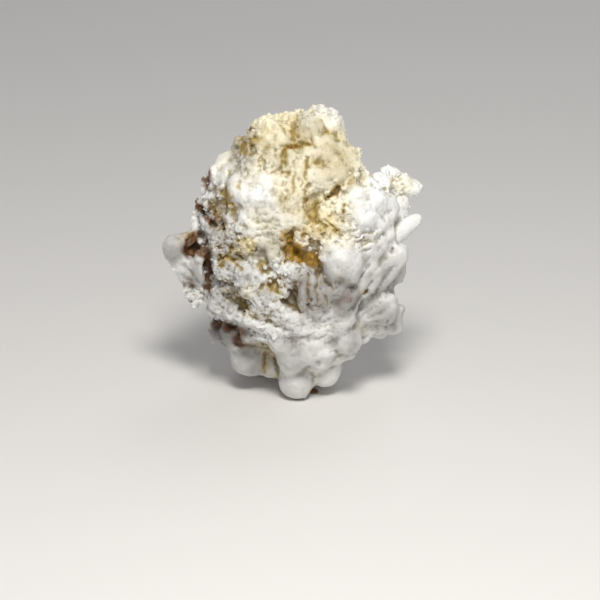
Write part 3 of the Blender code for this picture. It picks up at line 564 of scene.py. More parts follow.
# Spots on the display side, each with across, up, two half widths, strength and lean in degrees, if any:
# where crumbs sit thick, knobs flow together, growth is calmest, gaps hold ochre, and it is wrinkled
crumbly = [
    (-12.9, 26, 7, 4, 0.6), (-7.5, 40.2, 10, 2, 0.45), (7.5, 41.8, 7, 2.4, 0.4), (17, 26.4, 3, 7, 0.6),
    (9.3, 9.6, 5, 7, 0.85), (3.9, 5.4, 4, 2.6, 0.9), (26.4, 22, 9, 4, 0.3), (-23.4, 3, 5, 6, 0.8),
    (-18, 0, 5, 4, 0.75), (-21.6, -7.5, 6, 3, 0.7), (-3, -7.5, 4, 5, 0.6), (-33, -15, 4, 3, 0.9),
    (-24, 22, 4, 5, 0.35), (-12, -14, 5, 3, 0.4), (10, 3.4, 5, 2.4, 0.3), (17.4, 4, 5, 2.6, 0.5),
    (-28, 14, 3, 8, 0.7), (-17, 34, 4, 6, 0.4), (-26, 9, 4, 5, 0.6),
]
smooth = [
    (3, 35.4, 4, 5, 0.6), (10.3, 26, 6, 7, 0.6), (-15, 16.5, 8, 6.5, 0.9), (20, 11.5, 9, 8, 0.9),
    (-1.8, 18, 3.5, 13, 1), (12.3, -3.9, 6.5, 6, 0.85), (-7.5, 7.5, 8, 6, 0.95), (-9, 31, 5, 5, 0.5),
    (-15.9, -32.4, 7, 7, 1), (-1.5, -30.6, 9, 8, 1), (-0.6, -39, 9, 7, 1), (8.4, -35.4, 7, 7, 1),
    (13.5, -27, 7, 6, 1), (31.2, 6.6, 5, 5, 1), (23.5, -12, 11, 15, 0.6), (-33.5, -6, 4, 6, 1, 20),
    (4.5, -12.9, 8, 9, 0.65), (-8, -18, 9, 7, 0.35), (6.8, 11.7, 3, 8, 0.9, 30), (-22.5, -15.5, 6, 5, 0.45),
    (-37.5, 0, 3.5, 6, 0.6), (-24, 24, 4, 6, 0.6), (-2, -24, 12, 4, 0.35), (-13.6, -8.6, 4, 5, 0.9),
    (-31, -1, 3, 5, 0.7), (-2.6, 1.6, 2.2, 4, 0.8),
]
polished = [
    (-15.6, -32.6, 6, 6, 1), (-1, -32, 9, 8, 1), (-0.6, -38.6, 7, 6, 1), (8, -36, 6, 6, 1),
    (13.6, -27, 5, 5, 0.9), (6, -30.6, 5, 4, 0.9), (12, -4, 5, 5, 0.6),
]
gappy = [
    (-22, 1, 7, 9, 0.75), (-5, -8, 8, 5, 0.55), (9, 11, 5, 6, 0.32), (-12, 27, 8, 6, 0.35),
    (20, 3, 5, 4, 0.15), (-20, -12, 8, 4, 0.45), (4, 30, 8, 10, 0.2), (28, 21, 6, 4, 0.25),
    (-10, -20, 8, 6, 0.25), (-24, 12, 5, 6, 0.6),
]
wrinkled = [
    (28, 20, 8, 5, 0.8), (-1.5, -34, 16, 9, 0.15), (-8, 32, 12, 10, 0.6), (5, 35, 9, 7, 0.4),
    (10, 26, 8, 8, 0.45), (20, 12, 9, 9, 0.5), (-14, 17, 9, 8, 0.45), (12, -3, 7, 7, 0.6),
    (-24, 23, 6, 7, 0.6),
]

# Where broken crystal blocks and plates show, and where fibres run along the lean
blocky = [
    (-10, -17, 10, 8, 0.75), (4, -13, 9, 9, 0.25), (-22, -16, 7, 6, 0.8), (24, -14, 8, 12, 0.2),
    (0, -24, 12, 4, 0.6), (-13, -25.6, 6, 3, 0.9), (-6, 3, 8, 6, 0.6), (-20, 0, 8, 8, 0.7),
    (-2, 19, 5, 12, 0.5), (28, 20, 8, 5, 0.6), (-33, -12, 4, 4, 0.5), (-4, -6, 6, 5, 0.8), (9, 9, 6, 8, 0.6),
]
fibrous = [
    (-2, 17, 4, 12, 1, 2), (3, -12.6, 7, 7, 0.9, 12), (22.5, -7.5, 6, 15, 0.6, -38),
    (27, -17, 6, 7, 0.3, -64), (-12, -8.7, 3, 5, 1, 3), (-8, 6, 8, 5, 0.8, 88), (7.2, 11.4, 2.5, 8, 0.7, 30),
    (-33, -6.6, 3, 5, 0.8, 36),
]
fibres = {"apart": 0.9, "length": 7.0, "depth": 2.5, "height": 0.35}

# Colours of the surface, the same kind of spots for each: cream, ochre, amber and rust are stains that grew
# # into it, and the grey spots are partly grey tone and partly painted shade
creamy = [
    (-6, 33, 17, 12, 0.75), (10, 27, 9, 10, 0.85), (-2, 20, 6, 14, 0.7), (6, 9, 8, 8, 0.75),
    (-7.5, 8, 9, 6, 0.45), (-8.4, 0.6, 5, 4, 0.6), (-16, 1, 4, 3, 1), (30.5, 19.5, 4, 3, 0.5),
    (11.4, 2.4, 6, 2.4, 0.35), (-14, 26, 7, 5, 0.5), (-10.2, -33.6, 3, 4, 0.35), (-15, -12.9, 3, 2.4, 0.4),
]
ochre = [
    (10, 26, 6, 8, 0.42), (3, 35, 4, 5, 0.2), (-9, 34, 8, 6, 0.2), (-3.4, 37, 3, 4, 0.35),
    (-3.3, 2.4, 2.8, 5.6, 1.15), (-0.8, -1.2, 2.2, 2.6, 1.3), (3.2, -1.8, 3.4, 3.6, 0.75, 10),
    (9.7, 16.7, 2, 1, 0.9, 42), (4, 9.6, 1.8, 4.2, 0.75, -10), (6.2, 7.4, 2.6, 1.2, 0.6, -30),
    (3.6, 5.6, 3.2, 2.4, 0.62), (-24.2, 9.2, 1.6, 4, 0.4, 34), (-21.3, 14.4, 1.6, 3.2, 0.5, -20),
    (-20.5, 18.6, 1.4, 2.4, 0.4), (-5.4, -9, 1.9, 4.4, 0.5), (-10.8, -5.8, 1.9, 2.6, 0.6),
    (-1.6, -13.6, 1.7, 4.2, 0.35), (-21.6, -3, 3, 2, 0.5), (15, 20, 2.6, 1.6, 0.35), (-14.8, 33, 3, 3.6, 0.6),
    (-9.6, -33.6, 2.6, 5, 0.42), (18.6, -11.6, 1.4, 2.4, 0.4, -30), (4.2, 28.6, 1.6, 5, 0.36, 8),
    (19.6, 3.4, 3.6, 2, 0.1, -20), (4.6, 6.4, 5, 3.2, 0.3), (-9.5, -9.5, 4, 4, 0.35),
    (-11.4, -13.5, 3.4, 2.4, 0.42, -25), (-23.4, 3, 4, 4, 0.3), (-4.6, -1.2, 2.2, 2.2, 0.6),
    (-33.2, 4.2, 3.6, 2, 1, 25), (-36, -0.8, 2, 2, 0.4), (-17.4, -16.6, 1.6, 3.6, 0.45, 35),
    (2, 14.6, 1.6, 6, 0.3), (-1.6, 13, 4, 10, 0.15), (3.4, -12, 6, 7, 0.4), (-17.4, 31.4, 2.2, 5, 0.5),
    (-4, -17, 8, 6, 0.3),
]
amber = [
    (-3.3, 2.2, 2.6, 5.4, 0.65), (-0.8, -1.4, 2.4, 3, 1.9), (2.6, 4.6, 4, 3.2, 0.6),
    (3.4, -2.8, 3, 3.2, 0.85), (-2.4, 30.4, 2.4, 1, 1), (7, 7.4, 5, 5, 0.2), (-4.8, 22.2, 1, 0.8, 0.8),
    (-0.7, 33.6, 0.8, 1, 0.6), (9.7, 16.7, 2.2, 0.7, 0.3, 42), (-33.4, 4, 3, 1.6, 0.95, 25),
    (4.4, -43, 1.7, 1.5, 1.2), (-26.6, -0.4, 1, 1.2, 0.5), (-24, -0.6, 2, 1.2, 0.5),
    (4.2, 30.6, 1.4, 1.6, 0.4),
]
rusty = [
    (-28.4, 10.4, 1.2, 3, 0.8, 35), (-31.8, 1.2, 4, 3.8, 1.25, 20), (-2, 30.2, 2, 0.8, 0.6),
    (4.6, -43, 1.6, 1.3, 0.9), (13.4, -15.2, 3, 3.2, 0.55), (4, -12.4, 6, 7, 0.36),
    (-1.8, -12.6, 1.8, 4.8, 0.5), (-5.6, -9, 1.8, 4, 0.3), (-19, -27, 2.2, 3, 1, 8),
    (-30.4, 4.6, 2.4, 2, 0.9), (-28, -0.8, 2.6, 5.6, 1), (-27.9, -7.4, 2, 6.4, 0.9, 6),
    (-28.4, 20.4, 2.4, 4.6, 1), (-30.9, 13.4, 1.6, 4, 0.75), (-21.8, -23.2, 6, 2, 1.1, -17),
    (-25.6, 9.6, 1.2, 2.6, 0.5, 34), (-33.6, -10, 2.6, 1.8, 0.7, -30), (-23, -27.6, 4, 2, 0.4),
]
# Grey spots: partly the grey tone of translucent blades and nodules, partly painted shade on places that lie
# in shade
greyTonesAndShade = [
    (4, -12.4, 7, 8, 1.5), (13.5, -14.7, 4.4, 5, 2.2), (-3.6, -15.6, 6, 2.5, 0.5, -33),
    (-22, -25.4, 7, 4, 1.5), (14, -20, 6, 5, 0.5), (20, 3.6, 5, 3, 0.4), (-15, -25, 3, 4, 0.5),
    (-32, -7, 4, 5, 0.9), (24, -9, 9, 11, 0.7, -15), (-0.6, -39.4, 6, 5, 0.35), (-37.6, 0.6, 4, 4.6, 1.15),
    (-7, 11, 7, 5, 0.45), (-6, 28, 6, 6, 0.45), (2.6, 36.4, 3.6, 4.4, 0.5), (-25, 8, 5, 9, 1),
    (-31.5, 1, 4, 4, 0.6), (-8.4, 0.6, 5, 4.5, 0.7), (-11.4, -13.2, 4, 3, 0.85, -25), (-20, -7, 9, 7, 0.7),
    (-22, 2, 6, 7, 0.9), (-6, -17, 12, 8, 0.35), (-22, -15, 6, 5, 0.9), (-13.5, -13, 3, 3, 0.4),
    (14, -27, 5, 5, 0.9), (4, -28, 6, 4, 0.3), (-15, -33, 6, 6, 1), (26, -19, 8, 6, 0.85),
    (-16.5, 30.5, 4, 7, 1.1), (9.5, 26.5, 6, 7, 0.55), (-2, -31, 6, 5, 0.85), (-32, -12, 4, 5, 0.4),
    (12, -4.6, 5, 4, 0.35), (8, -36, 5, 5, 0.25),
]


# Where a point is seen, and how far behind the egg's face it lies: the farther, the more noise moves its
# place, so that no stain or groove runs back along the sides as a streak
def brokenView(points):
    across, up, depth = toView(points)
    sink = depth - eggFace(across, up)[0]
    stray = fray["share"] * np.clip(sink, 0, fray["most"])
    across = across + stray * softNoise(points, fray["size"], 96)
    return across, up + stray * softNoise(points, fray["size"], 97), sink


# From 0 on the display side to 1 on the far side
def farness(points):
    across, up, depth = toView(points)
    return 1 - below(depth - eggFace(across, up)[0], farEdge["sink"], farEdge["width"])


# How strongly a list of spots covers each point: a soft bump per spot, leaned like the forms and no deeper
# than reach behind the egg's face, so that nothing shows through on the far side
def spotCover(points, spots, reach=13.0):
    across, up, sink = brokenView(points)
    cover = np.zeros(len(points))
    for middleAcross, middleUp, wide, tall, strength, lean in wholeRows(spots, 6):
        turned = math.radians(lean)
        x, y = across - middleAcross, up - middleUp
        along = (x * math.cos(turned) + y * math.sin(turned)) / wide
        over = (-x * math.sin(turned) + y * math.cos(turned)) / tall
        cover = np.maximum(cover, strength * np.exp(-((along**2 + over**2) ** 1.5) * 0.7))
    return cover * below(sink, reach, 2.0)


# Nearness of each point to the drawn cracks, times one of their numbers: a bell across each half width
def crackCover(points, column, wider=1.0):
    across, up, sink = brokenView(points)
    for size, throw, salt in waver["bends"]:
        across = across + throw * softNoise(points, size, salt)
        up = up + throw * softNoise(points, size, salt + 2)
    size, throw, salt = waver["edge"]
    sway = throw * softNoise(points, size, salt)
    cover = np.zeros(len(points))
    for crack in cracks:
        ahead = np.array([crack[2] - crack[0], crack[3] - crack[1]])
        share = ((across - crack[0]) * ahead[0] + (up - crack[1]) * ahead[1]) / (ahead @ ahead)
        share = np.clip(share, 0, 1)
        away = np.hypot(across - crack[0] - share * ahead[0], up - crack[1] - share * ahead[1])
        edge = (away + sway) / (crack[4] * wider + waver["least"])
        cover = np.maximum(cover, crack[column] * np.exp(-np.maximum(edge, 0) ** 2))
    return cover * below(sink, *waver["reach"])


# Fibres: ridges of soft noise drawn out along each spot's lean
def fibreRidges(points):
    across, up, depth = toView(points)
    total = np.zeros(len(points))
    for number, spot in enumerate(fibrous):
        turned = math.radians(spot[5])
        over = across * math.cos(turned) + up * math.sin(turned)
        along = -across * math.sin(turned) + up * math.cos(turned)
        stretched = (over / fibres["apart"], along / fibres["length"], depth / fibres["depth"])
        total += spotCover(points, [spot]) * softNoise(np.stack(stretched, axis=-1), 1.0, 131 + number)
    return fibres["height"] * total


# Crumbliness from 0, smooth and milky, to 1: spots on the display side, patches of soft noise behind
def crumbliness(points):
    behind = farness(points)
    patches = np.clip(0.5 + 0.9 * softNoise(points, 11.0, 71) + 0.4 * softNoise(points, 5.0, 72), 0, 1)
    front = np.clip(0.02 + 0.2 * softNoise(points, 6.0, 73) + spotCover(points, crumbly), 0, 1)
    return front * (1 - spotCover(points, smooth)) * (1 - behind) + patches * behind


# The fan's ribs: the absolute cosine of the angle round the root, times the count, bent a little by noise
def fanRelief(points):
    across, up, depth = toView(points)
    angle = np.arctan2(up - fanRibs["root"][1], across - fanRibs["root"][0])
    angle = angle + fanRibs["bend"] * softNoise(points, fanRibs["bendSize"], 141)
    ridge = np.abs(np.cos(angle * fanRibs["count"])) - fanRibs["level"]
    return fanRibs["height"] * ridge * spotCover(points, fanRibs["where"])


# Each pass puts every corner midway between itself and the mean of its neighbours; returns the places after
# each of the wanted numbers of passes
def smoothedPlaces(places, edges, passes):
    count = len(places)
    neighbours = np.maximum(np.bincount(edges.ravel(), minlength=count), 1)
    kept, done = [], 0
    for wanted in passes:
        for _ in range(wanted - done):
            mean = np.stack([
                np.bincount(edges[:, 0], places[edges[:, 1], axis], count)
                + np.bincount(edges[:, 1], places[edges[:, 0], axis], count)
                for axis in range(3)
            ], axis=-1) / neighbours[:, None]
            places = (places + mean) / 2
        done = wanted
        kept.append(places)
    return kept


# Random points of the surface, as many per area as the chance given for each corner's surroundings
def scatteredPoints(mesh, chance, number, rng):
    mesh.calc_loop_triangles()
    sides = np.empty(len(mesh.loop_triangles) * 3, dtype=np.int32)
    mesh.loop_triangles.foreach_get("vertices", sides)
    sides = sides.reshape(-1, 3)
    places, normals = cornersOf(mesh), normalsOf(mesh)
    corners = places[sides]
    area = np.linalg.norm(np.cross(corners[:, 1] - corners[:, 0], corners[:, 2] - corners[:, 0]), axis=1) / 2
    weight = np.cumsum(area * chance[sides].mean(axis=1))
    chosen = np.searchsorted(weight, rng.uniform(0, weight[-1], number))
    share = rng.dirichlet((1, 1, 1), number)
    spots = (corners[chosen] * share[..., None]).sum(axis=1)
    ways = (normals[sides[chosen]] * share[..., None]).sum(axis=1)
    return spots, ways / np.linalg.norm(ways, axis=1, keepdims=True)


# How far a chip's corners are thrown in or out, least and most, and how far it is tilted off the surface
chipShape = {"throw": (0.72, 1.22), "tilt": 0.45}


# Angular chips: coarse closed grids with each corner thrown in or out, stretched along three crossed ways
# of which the first points out of the surface, turned about it by chance
def chipSurfaces(spots, ways, sizes, stretch, rng, around=6, rings=5):
    count = len(spots)
    turn, rise = ballAngles(around, rings)
    ball = np.stack([np.cos(rise) * np.cos(turn), np.cos(rise) * np.sin(turn), np.sin(rise)], axis=-1)
    throw = rng.uniform(*chipShape["throw"], (count, rings, around))
    throw[:, 0] = throw[:, 0, :1]
    throw[:, -1] = throw[:, -1, :1]
    body = ball[None] * throw[..., None] * (sizes[:, None] * stretch)[:, None, None, :]
    anyWay = rng.normal(size=(count, 3))
    tilted = ways + chipShape["tilt"] * rng.normal(size=(count, 3))
    up = tilted / np.linalg.norm(tilted, axis=1, keepdims=True)
    side = np.cross(anyWay, up)
    side /= np.linalg.norm(side, axis=1, keepdims=True)
    front = np.cross(up, side)
    turned = (body[..., :1] * side[:, None, None] + body[..., 1:2] * front[:, None, None]
              + body[..., 2:] * up[:, None, None])
    return gridMesh(turned + spots[:, None, None])


# How the mass is made: voxels, closing of gaps, passes that round smooth places, triangles that the library
# takes, how far crumbly places sink, how far round the sides cracks reach, and half size and depth of the
# block that cuts off all below the scar
relief = {"formVoxel": 0.6, "closing": 0.5, "hollowVoxel": 0.6, "rounding": 8, "skinVoxel": 0.32,
          "triangles": 196000, "crumblySunk": 0.5, "aroundSides": 0.3, "block": (100.0, 30.0)}

shapes = [displayForms(group, 11 * number + 1) for number, group in enumerate(displaySide)]
shapes += [ribForms(ribs, 301), coreForms(core, 401), farForms(farSide, 501)]
mass = joinedObject("mass", shapes)
fused(mass, relief["formVoxel"])
for push in (relief["closing"], -relief["closing"]):
    places, normals = cornersOf(mass.data), normalsOf(mass.data)
    moveCorners(mass.data, places + normals * push)
    fused(mass, relief["formVoxel"])
hollowTool = joinedObject("hollows", [displayForms(hollows, 601)])
fused(hollowTool, relief["hollowVoxel"])
cutAway(mass, hollowTool)
print("forms grown together:", len(mass.data.vertices), "corners")

# Smooth places are rounded off, so that neighbouring knobs flow into each other
places = cornersOf(mass.data)
rounded = smoothedPlaces(places, edgesOf(mass.data), (relief["rounding"],))[0]
moveCorners(mass.data, places + spotCover(places, smooth)[:, None] * (rounded - places))

# Layers of growth, swells before the crust and beads after it. Each has its noise, what covers it, height
# everywhere, height added under full cover, size, salt, level added to the noise, and how far it is calmed
# on the fan and on polished nodules. Heights and sizes are in millimetres.
swells = [
    (softNoise, "crumbly", 0.45, 0, 9.0, 31, 0, 0), (softNoise, "crumbly", 0.36, 0, 4.0, 32, 0, 0.8),
    (softNoise, "crumbly", 0.12, 0, 2.0, 33, 0, 0), (creaseNoise, "wrinkled", 0, 0.4, 4.2, 34, 1, 0),
    (knobNoise, "crumbly", 0.13, 0.975, 4.4, 21, 0.55, 0), (knobNoise, "crumbly", 0.03, 0.6, 2.3, 25, 0.5, 0),
    (facetNoise, "blocky", 0.2, 0.45, 3.2, 61, 0, 0.8), (facetNoise, "blocky", 0.07, 0.42, 1.7, 65, 0, 0.8),
]
beads = [
    (knobNoise, "crumbly", 0.1, 0.3, 1.5, 41, 0.5, 0.5), (softNoise, "crumbly", 0.1, 0, 1.6, 51, 0, 0),
    (knobNoise, "crumbly", 0.07, 0.13, 0.85, 45, 0.5, 0.5), (facetNoise, "blocky", 0.04, 0.2, 1.1, 67, 0, 0),
    (knobNoise, "wrinkled", 0, 0.16, 0.85, 45, 0.5, 0),
]


# Height of the layers at each point: each layer's heights times its noise, summed
def grownHeight(points, layers):
    covers = {"crumbly": crumbliness(points)}
    covers.update(wrinkled=spotCover(points, wrinkled), blocky=spotCover(points, blocky))
    stillness = spotCover(points, fanRibs["where"] + polished)
    height = np.zeros(len(points))
    for noise, cover, least, added, size, salt, level, calmed in layers:
        heights = (least + added * covers[cover]) * (1 - calmed * stillness)
        height += heights * (level + noise(points, size, salt))
    return height


places, normals = cornersOf(mass.data), normalsOf(mass.data)
swell = grownHeight(places, swells) + fanRelief(places) - relief["crumblySunk"] * crumbliness(places)
moveCorners(mass.data, places + normals * swell[:, None])
print("growth swells done")

# Crust: chips of two sizes on the crumbly places, melted into the mass by the last remesh. Each size has
# how many, least and most half width, and share sunk; the stretches are the least and the most.
crustChips = {"sizes": [(5200, 0.4, 0.85, 0.1), (1040, 0.9, 1.5, 0.3)],
              "stretches": ((0.75, 0.55, 0.8), (1.25, 1.0, 1.5)), "everywhere": 0.002, "power": 1.4}
rng = np.random.default_rng(4711)
chance = crustChips["everywhere"] + crumbliness(cornersOf(mass.data)) ** crustChips["power"]
crust = [displayForms(inHollows, 651), ribForms(finger, 671)]
for number, least, most, sunk in crustChips["sizes"]:
    spots, ways = scatteredPoints(mass.data, chance, number, rng)
    sizes = rng.uniform(least, most, number)
    stretch = rng.uniform(*crustChips["stretches"], (number, 3))
    crust.append(chipSurfaces(spots - ways * sizes[:, None] * sunk, ways, sizes, stretch, rng))
crustPiece = joinedObject("crust", crust)
bpy.context.view_layer.objects.active = mass
with bpy.context.temp_override(active_object=mass, selected_editable_objects=[mass, crustPiece]):
    bpy.ops.object.join()
fused(mass, relief["skinVoxel"])
print("crusted:", len(mass.data.vertices), "corners")

# Beads and fibres push the skin along its normals, cracks push it away along the line of sight
places, normals = cornersOf(mass.data), normalsOf(mass.data)
bead = grownHeight(places, beads) + fibreRidges(places)
sightline = np.array([0.0, cosine, -sine])
facing = np.clip(relief["aroundSides"] - normals @ sightline, 0, 1)
crackDepth = crackCover(places, 5) * facing
moveCorners(mass.data, places + normals * bead[:, None] + sightline * crackDepth[:, None])

# Thinned to the number of triangles given in relief. Thinned to what the library takes
thin = mass.modifiers.new("thin", "DECIMATE")
total = triangleCount(mass.data)
thin.ratio = min(1.0, relief["triangles"] / total)
applyAll(mass)

half, deep = relief["block"]
blockPlaces = np.array([(x, y, z) for z in (-deep, 0) for y in (-half, half) for x in (-half, half)])
blockSides = np.array([(0, 2, 1), (1, 2, 3), (4, 5, 6), (5, 7, 6), (0, 1, 4), (1, 5, 4), (2, 6, 3), (3, 6, 7),
                       (0, 4, 2), (2, 4, 6), (1, 3, 5), (3, 7, 5)])
cutAway(mass, joinedObject("under", [(blockPlaces, blockSides)]))
print("skin:", total, "thinned to", triangleCount(mass.data), "triangles")


# Colour of each corner as soft covers that the material mixes: hollow is how far a corner lies below the
# mean of its surroundings, which the material turns into painted shade, and each stain is laid by spots and
# cracks, by depth in the crust, by blotches, and by patches on the far side; the grey cover also holds
# painted shade that darkens the lower part. The plain numbers are each cause's share.
def colourCovers(mesh):
    places, normals = cornersOf(mesh), normalsOf(mesh)
    means = smoothedPlaces(places, edgesOf(mesh), (3, 16, 90))
    fine, medium, wide = [((mean - places) * normals).sum(axis=1) for mean in means]
    behind = farness(places)
    patch = softNoise(places, 12.0, 81) + 0.5 * softNoise(places, 6.0, 82)
    blotch = softNoise(places, 3.0, 83) + 0.6 * softNoise(places, 1.4, 84)
    deep = np.clip(wide * 0.9 + medium * 1.2, -0.3, 1.2)
    # painted shade: 0 from 2 mm above the heart, rising to 1 at 28 mm below it, for the grey that darkens the
    # lower part
    low = np.clip((2.0 - toView(places)[1]) / 30.0, 0, 1)
    covers = {
        # painted shade: the material darkens each corner's colour by how hollow it lies
        "hollow": [0.5 + fine * 2.2 + medium * 0.8],
        "cream": [0.03 + 0.1 * blotch + 0.2 * deep, spotCover(places, creamy), behind * (0.25 + 0.5 * patch)],
        "ochre": [
            spotCover(places, ochre) * (0.6 + 0.5 * deep + 0.25 * blotch),
            crackCover(places, 6, 1.6) * (0.75 + 0.5 * blotch),
            spotCover(places, gappy) * np.clip(deep * 1.8 - 0.05, 0, 0.85),
            np.clip(deep - 0.25, 0, 1) * (0.35 + 0.4 * patch) * (0.3 + 0.7 * behind),
            behind * np.clip(patch - 0.55, 0, 1) * 0.8,
        ],
        "amber": [spotCover(places, amber) * (0.7 + 0.5 * deep + 0.35 * blotch)],
        "rust": [
            spotCover(places, rusty, 20.0) * (0.8 + 0.5 * blotch + 0.3 * deep),
            crackCover(places, 7, 1.2) * (0.75 + 0.5 * blotch),
            np.clip(deep - 0.6, 0, 1) * behind * 0.7,
        ],
        # grey tone from the spots, plus painted shade that grows towards the bottom
        "greyAndShade": [
            spotCover(places, greyTonesAndShade) * (0.8 + 0.2 * blotch),
            low * (0.12 + 0.06 * blotch + 0.1 * patch),
        ],
    }
    for name, parts in covers.items():
        layer = mesh.attributes.new(name, "FLOAT", "POINT")
        layer.data.foreach_set("value", np.clip(sum(parts), 0, 1).astype(np.float32))


# Loose crumbs: crisp coarse chips lying in the crust, each with flat facets; the cream crown has the
# finest, and none lies lower than above. The power of the spread makes large ones rare.
looseChips = {"number": 3200, "everywhere": 0.003, "power": 1.6, "above": 1.2, "crownHalf": 0.22,
              "moreBelow": 0.08, "crownUp": 22.0, "crownEdge": 6.0, "spread": 2.2, "rarity": 3, "sunk": 0.15,
              "stretches": ((0.8, 0.6, 0.7), (1.4, 1.1, 1.4))}
chance = looseChips["everywhere"] + crumbliness(cornersOf(mass.data)) ** looseChips["power"]
spots, ways = scatteredPoints(mass.data, chance, looseChips["number"], rng)
aboveFloor = spots[:, 2] > looseChips["above"]
spots, ways = spots[aboveFloor], ways[aboveFloor]
inCrown = np.clip((toView(spots)[1] - looseChips["crownUp"]) / looseChips["crownEdge"], 0, 1)
least = looseChips["crownHalf"] + looseChips["moreBelow"] * (1 - inCrown)
sizes = least + least * looseChips["spread"] * rng.uniform(0, 1, len(spots)) ** looseChips["rarity"]
stretch = rng.uniform(*looseChips["stretches"], (len(spots), 3))
spots = spots - ways * sizes[:, None] * looseChips["sunk"]
looseCrumbs = joinedObject("aragonite-crumbs", [chipSurfaces(spots, ways, sizes, stretch, rng, 5, 4)])

colourCovers(mass.data)
colourCovers(looseCrumbs.data)
print("colours worked out")


def toLinear(hexColour):
    parts = [int(hexColour[place:place + 2], 16) / 255 for place in (1, 3, 5)]
    return [part / 12.92 if part <= 0.04045 else ((part + 0.055) / 1.055) ** 2.4 for part in parts] + [1.0]


# Adds a node with its settings, and its inputs as numbers, colours or links; i0 is its first input
def addNode(tree, kind, settings=None, **inputs):
    node = tree.nodes.new(kind)
    for name, value in (settings or {}).items():
        setattr(node, name, value)
    for name, value in inputs.items():
        socket = node.inputs[int(name[1:]) if name[1:].isdigit() else name.replace("_", " ")]
        if isinstance(value, bpy.types.NodeSocket):
            tree.links.new(value, socket)
        else:
            socket.default_value = value
    return node


# Aragonite grown as a milky, finely crystalline crust: chalk white, light goes a little way in, and its
# tiny crystals give a soft sugary gloss. Each stain has its colour, how far noise frays its cover, and the
# covers at which it starts and is full; the grey one is partly grey tone and partly painted shade. Hollows
# get painted shade, their colour darkened, and grain sets the roughness.
aragoniteLook = {
    "white": "#f1f1ee",
    "stainsAndShade": {
        "cream": ("#eadcac", 0.4, 0.35, 1.25), "greyAndShade": ("#888480", 0.0, 0.0, 1.2),
        "ochre": ("#ae9550", 0.6, 0.6, 1.4), "amber": ("#a17a08", 0.6, 0.6, 1.3),
        "rust": ("#664320", 0.6, 0.75, 1.3),
    },
    "paintedShadeOfHollows": {"From_Min": 0.47, "From_Max": 0.95, "To_Min": 1.0, "To_Max": 0.5}, "paintedShadeShare": 0.8,
    "roughness": {"From_Min": 0.3, "From_Max": 0.7, "To_Min": 0.38, "To_Max": 0.68}, "ior": 1.6,
    "cloudMm": 3.0, "speckMm": 1.1, "speckShare": 0.6, "grainMm": 0.5, "sugarMm": 0.9,
    "bumpMm": 0.3, "grainBump": 0.5, "sugarBump": 0.35,
    "milk": 0.35, "milkMm": 0.65, "milkReach": (1.0, 0.9, 0.75),
}


def aragonite(look):
    made = bpy.data.materials.new("aragonite-coralloid")
    made.use_nodes = True
    tree = made.node_tree
    shader = tree.nodes["Principled BSDF"]
    place = addNode(tree, "ShaderNodeTexCoord").outputs["Object"]
    noises = []
    for size, detail in ((look["grainMm"] * 2, 3.0), (look["cloudMm"], 4.0), (look["speckMm"], 2.0)):
        noises.append(addNode(tree, "ShaderNodeTexNoise", Vector=place, Scale=1 / (size * mm), Detail=detail,
                              Roughness=0.6).outputs["Fac"])
    grain, cloud, speck = noises
    sugar = addNode(tree, "ShaderNodeTexVoronoi", Vector=place, Scale=1 / (look["sugarMm"] * mm))
    patchy = addNode(tree, "ShaderNodeMath", {"operation": "MULTIPLY_ADD"}, i0=speck, i1=look["speckShare"],
                     i2=cloud).outputs[0]
    colour = toLinear(look["white"])
    for name, (hexColour, frayed, starts, full) in look["stainsAndShade"].items():
        cover = addNode(tree, "ShaderNodeAttribute", {"attribute_name": name}).outputs["Fac"]
        cover = addNode(tree, "ShaderNodeMath", {"operation": "MULTIPLY_ADD"}, i0=patchy, i1=frayed,
                        i2=cover).outputs[0]
        share = addNode(tree, "ShaderNodeMapRange", Value=cover, From_Min=starts, From_Max=full).outputs[0]
        colour = addNode(tree, "ShaderNodeMix", {"data_type": "RGBA"}, i0=share, i6=colour,
                         i7=toLinear(hexColour)).outputs[2]
    # Painted shade: the colour is darkened in hollows, by how far each corner lies below its surroundings
    hollow = addNode(tree, "ShaderNodeAttribute", {"attribute_name": "hollow"}).outputs["Fac"]
    shade = addNode(tree, "ShaderNodeMapRange", Value=hollow, **look["paintedShadeOfHollows"]).outputs[0]
    shade = addNode(tree, "ShaderNodeCombineColor", Red=shade, Green=shade, Blue=shade).outputs[0]
    colour = addNode(tree, "ShaderNodeMix", {"data_type": "RGBA", "blend_type": "MULTIPLY"},
                     i0=look["paintedShadeShare"], i6=colour, i7=shade).outputs[2]
    rough = addNode(tree, "ShaderNodeMapRange", Value=grain, **look["roughness"]).outputs[0]
    distance = look["bumpMm"] * mm
    bump = addNode(tree, "ShaderNodeBump", Strength=look["grainBump"], Distance=distance, Height=grain)
    bump = addNode(tree, "ShaderNodeBump", Strength=look["sugarBump"], Distance=distance,
                   Height=sugar.outputs["Distance"], Normal=bump.outputs[0])
    tree.links.new(colour, shader.inputs["Base Color"])
    tree.links.new(rough, shader.inputs["Roughness"])
    tree.links.new(bump.outputs[0], shader.inputs["Normal"])
    shader.inputs["IOR"].default_value = look["ior"]
    shader.inputs["Subsurface Weight"].default_value = look["milk"]
    shader.inputs["Subsurface Radius"].default_value = look["milkReach"]
    shader.inputs["Subsurface Scale"].default_value = look["milkMm"] * mm
    return made


mass.data.polygons.foreach_set("use_smooth", np.ones(len(mass.data.polygons), dtype=bool))
mass.name = mass.data.name = "aragonite-mass"
mass.data.materials.clear()
crustOfAragonite = aragonite(aragoniteLook)
for piece in (mass, looseCrumbs):
    piece.data.materials.append(crustOfAragonite)
    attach(piece, "root")
    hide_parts("aragonite")
print("aragonite made")

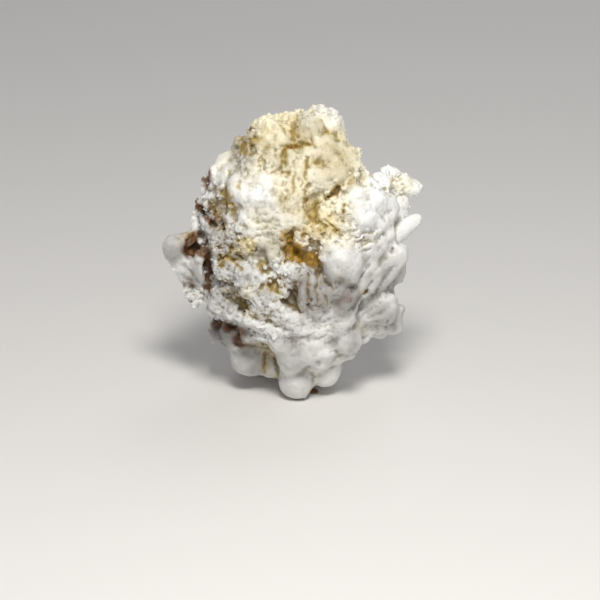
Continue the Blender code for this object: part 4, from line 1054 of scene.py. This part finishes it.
# Floor: a wide sheet of pale matt paper under the scar, and the even light of the room
stage = {"halfWidth": 3000.0, "colour": "#e2e0dd", "roughness": 0.9, "air": "#e6e6ea", "airLight": 0.32}
half = stage["halfWidth"]
floorPlaces = np.array([(-half, -half, 0), (half, -half, 0), (half, half, 0), (-half, half, 0)])
floor = joinedObject("floor", [(floorPlaces, np.array([(0, 1, 2, 3)]))])
paper = bpy.data.materials.new("matt-paper")
paper.use_nodes = True
paperShader = paper.node_tree.nodes["Principled BSDF"]
paperShader.inputs["Base Color"].default_value = toLinear(stage["colour"])
paperShader.inputs["Roughness"].default_value = stage["roughness"]
floor.data.materials.append(paper)

world = bpy.data.worlds.new("studio")
world.use_nodes = True
world.node_tree.nodes["Background"].inputs["Color"].default_value = toLinear(stage["air"])
world.node_tree.nodes["Background"].inputs["Strength"].default_value = stage["airLight"]
bpy.context.scene.world = world
bpy.context.scene.view_settings.view_transform = "Standard"

# Lights, all turned to the heart: where each stands and how wide it is in metres, power in watts, colour
lights = {
    "key": {"place": (0.03, -0.36, 0.5), "size": 0.15, "power": 2.9, "colour": "#fffdf8"},
    "fill": {"place": (0.15, -1.1, 0.45), "size": 0.7, "power": 1.1, "colour": "#f6f8ff"},
    "top": {"place": (0.3, 0.7, 0.9), "size": 0.6, "power": 1.6, "colour": "#ffffff"},
}
aim = heartPlace * mm


def turnedTo(thing, place, target):
    thing.location = place
    thing.rotation_euler = (Vector(target) - Vector(place)).to_track_quat("-Z", "Y").to_euler()


for name, light in lights.items():
    lamp = bpy.data.lights.new(name, "AREA")
    lamp.size = light["size"]
    lamp.energy = light["power"]
    lamp.color = toLinear(light["colour"])[:3]
    holder = bpy.data.objects.new(name, lamp)
    bpy.context.scene.collection.objects.link(holder)
    holder.visible_camera = False
    turnedTo(holder, light["place"], aim)

# Camera: straight at a point 15 mm of the picture below the heart, so that 1 mm is 3.33 pixels there
view = {"distance": 1200.0, "down": 15.0, "acrossShown": 180.0, "sensor": 36.0}
lens = bpy.data.cameras.new("camera")
lens.sensor_width = view["sensor"]
lens.lens = view["sensor"] * view["distance"] / view["acrossShown"]
lens.clip_end = 20.0
camera = bpy.data.objects.new("camera", lens)
bpy.context.scene.collection.objects.link(camera)
target = aim - np.array([0.0, sine, cosine]) * view["down"] * mm
turnedTo(camera, target - sightline * view["distance"] * mm, target)
bpy.context.scene.camera = camera
print("stage set")
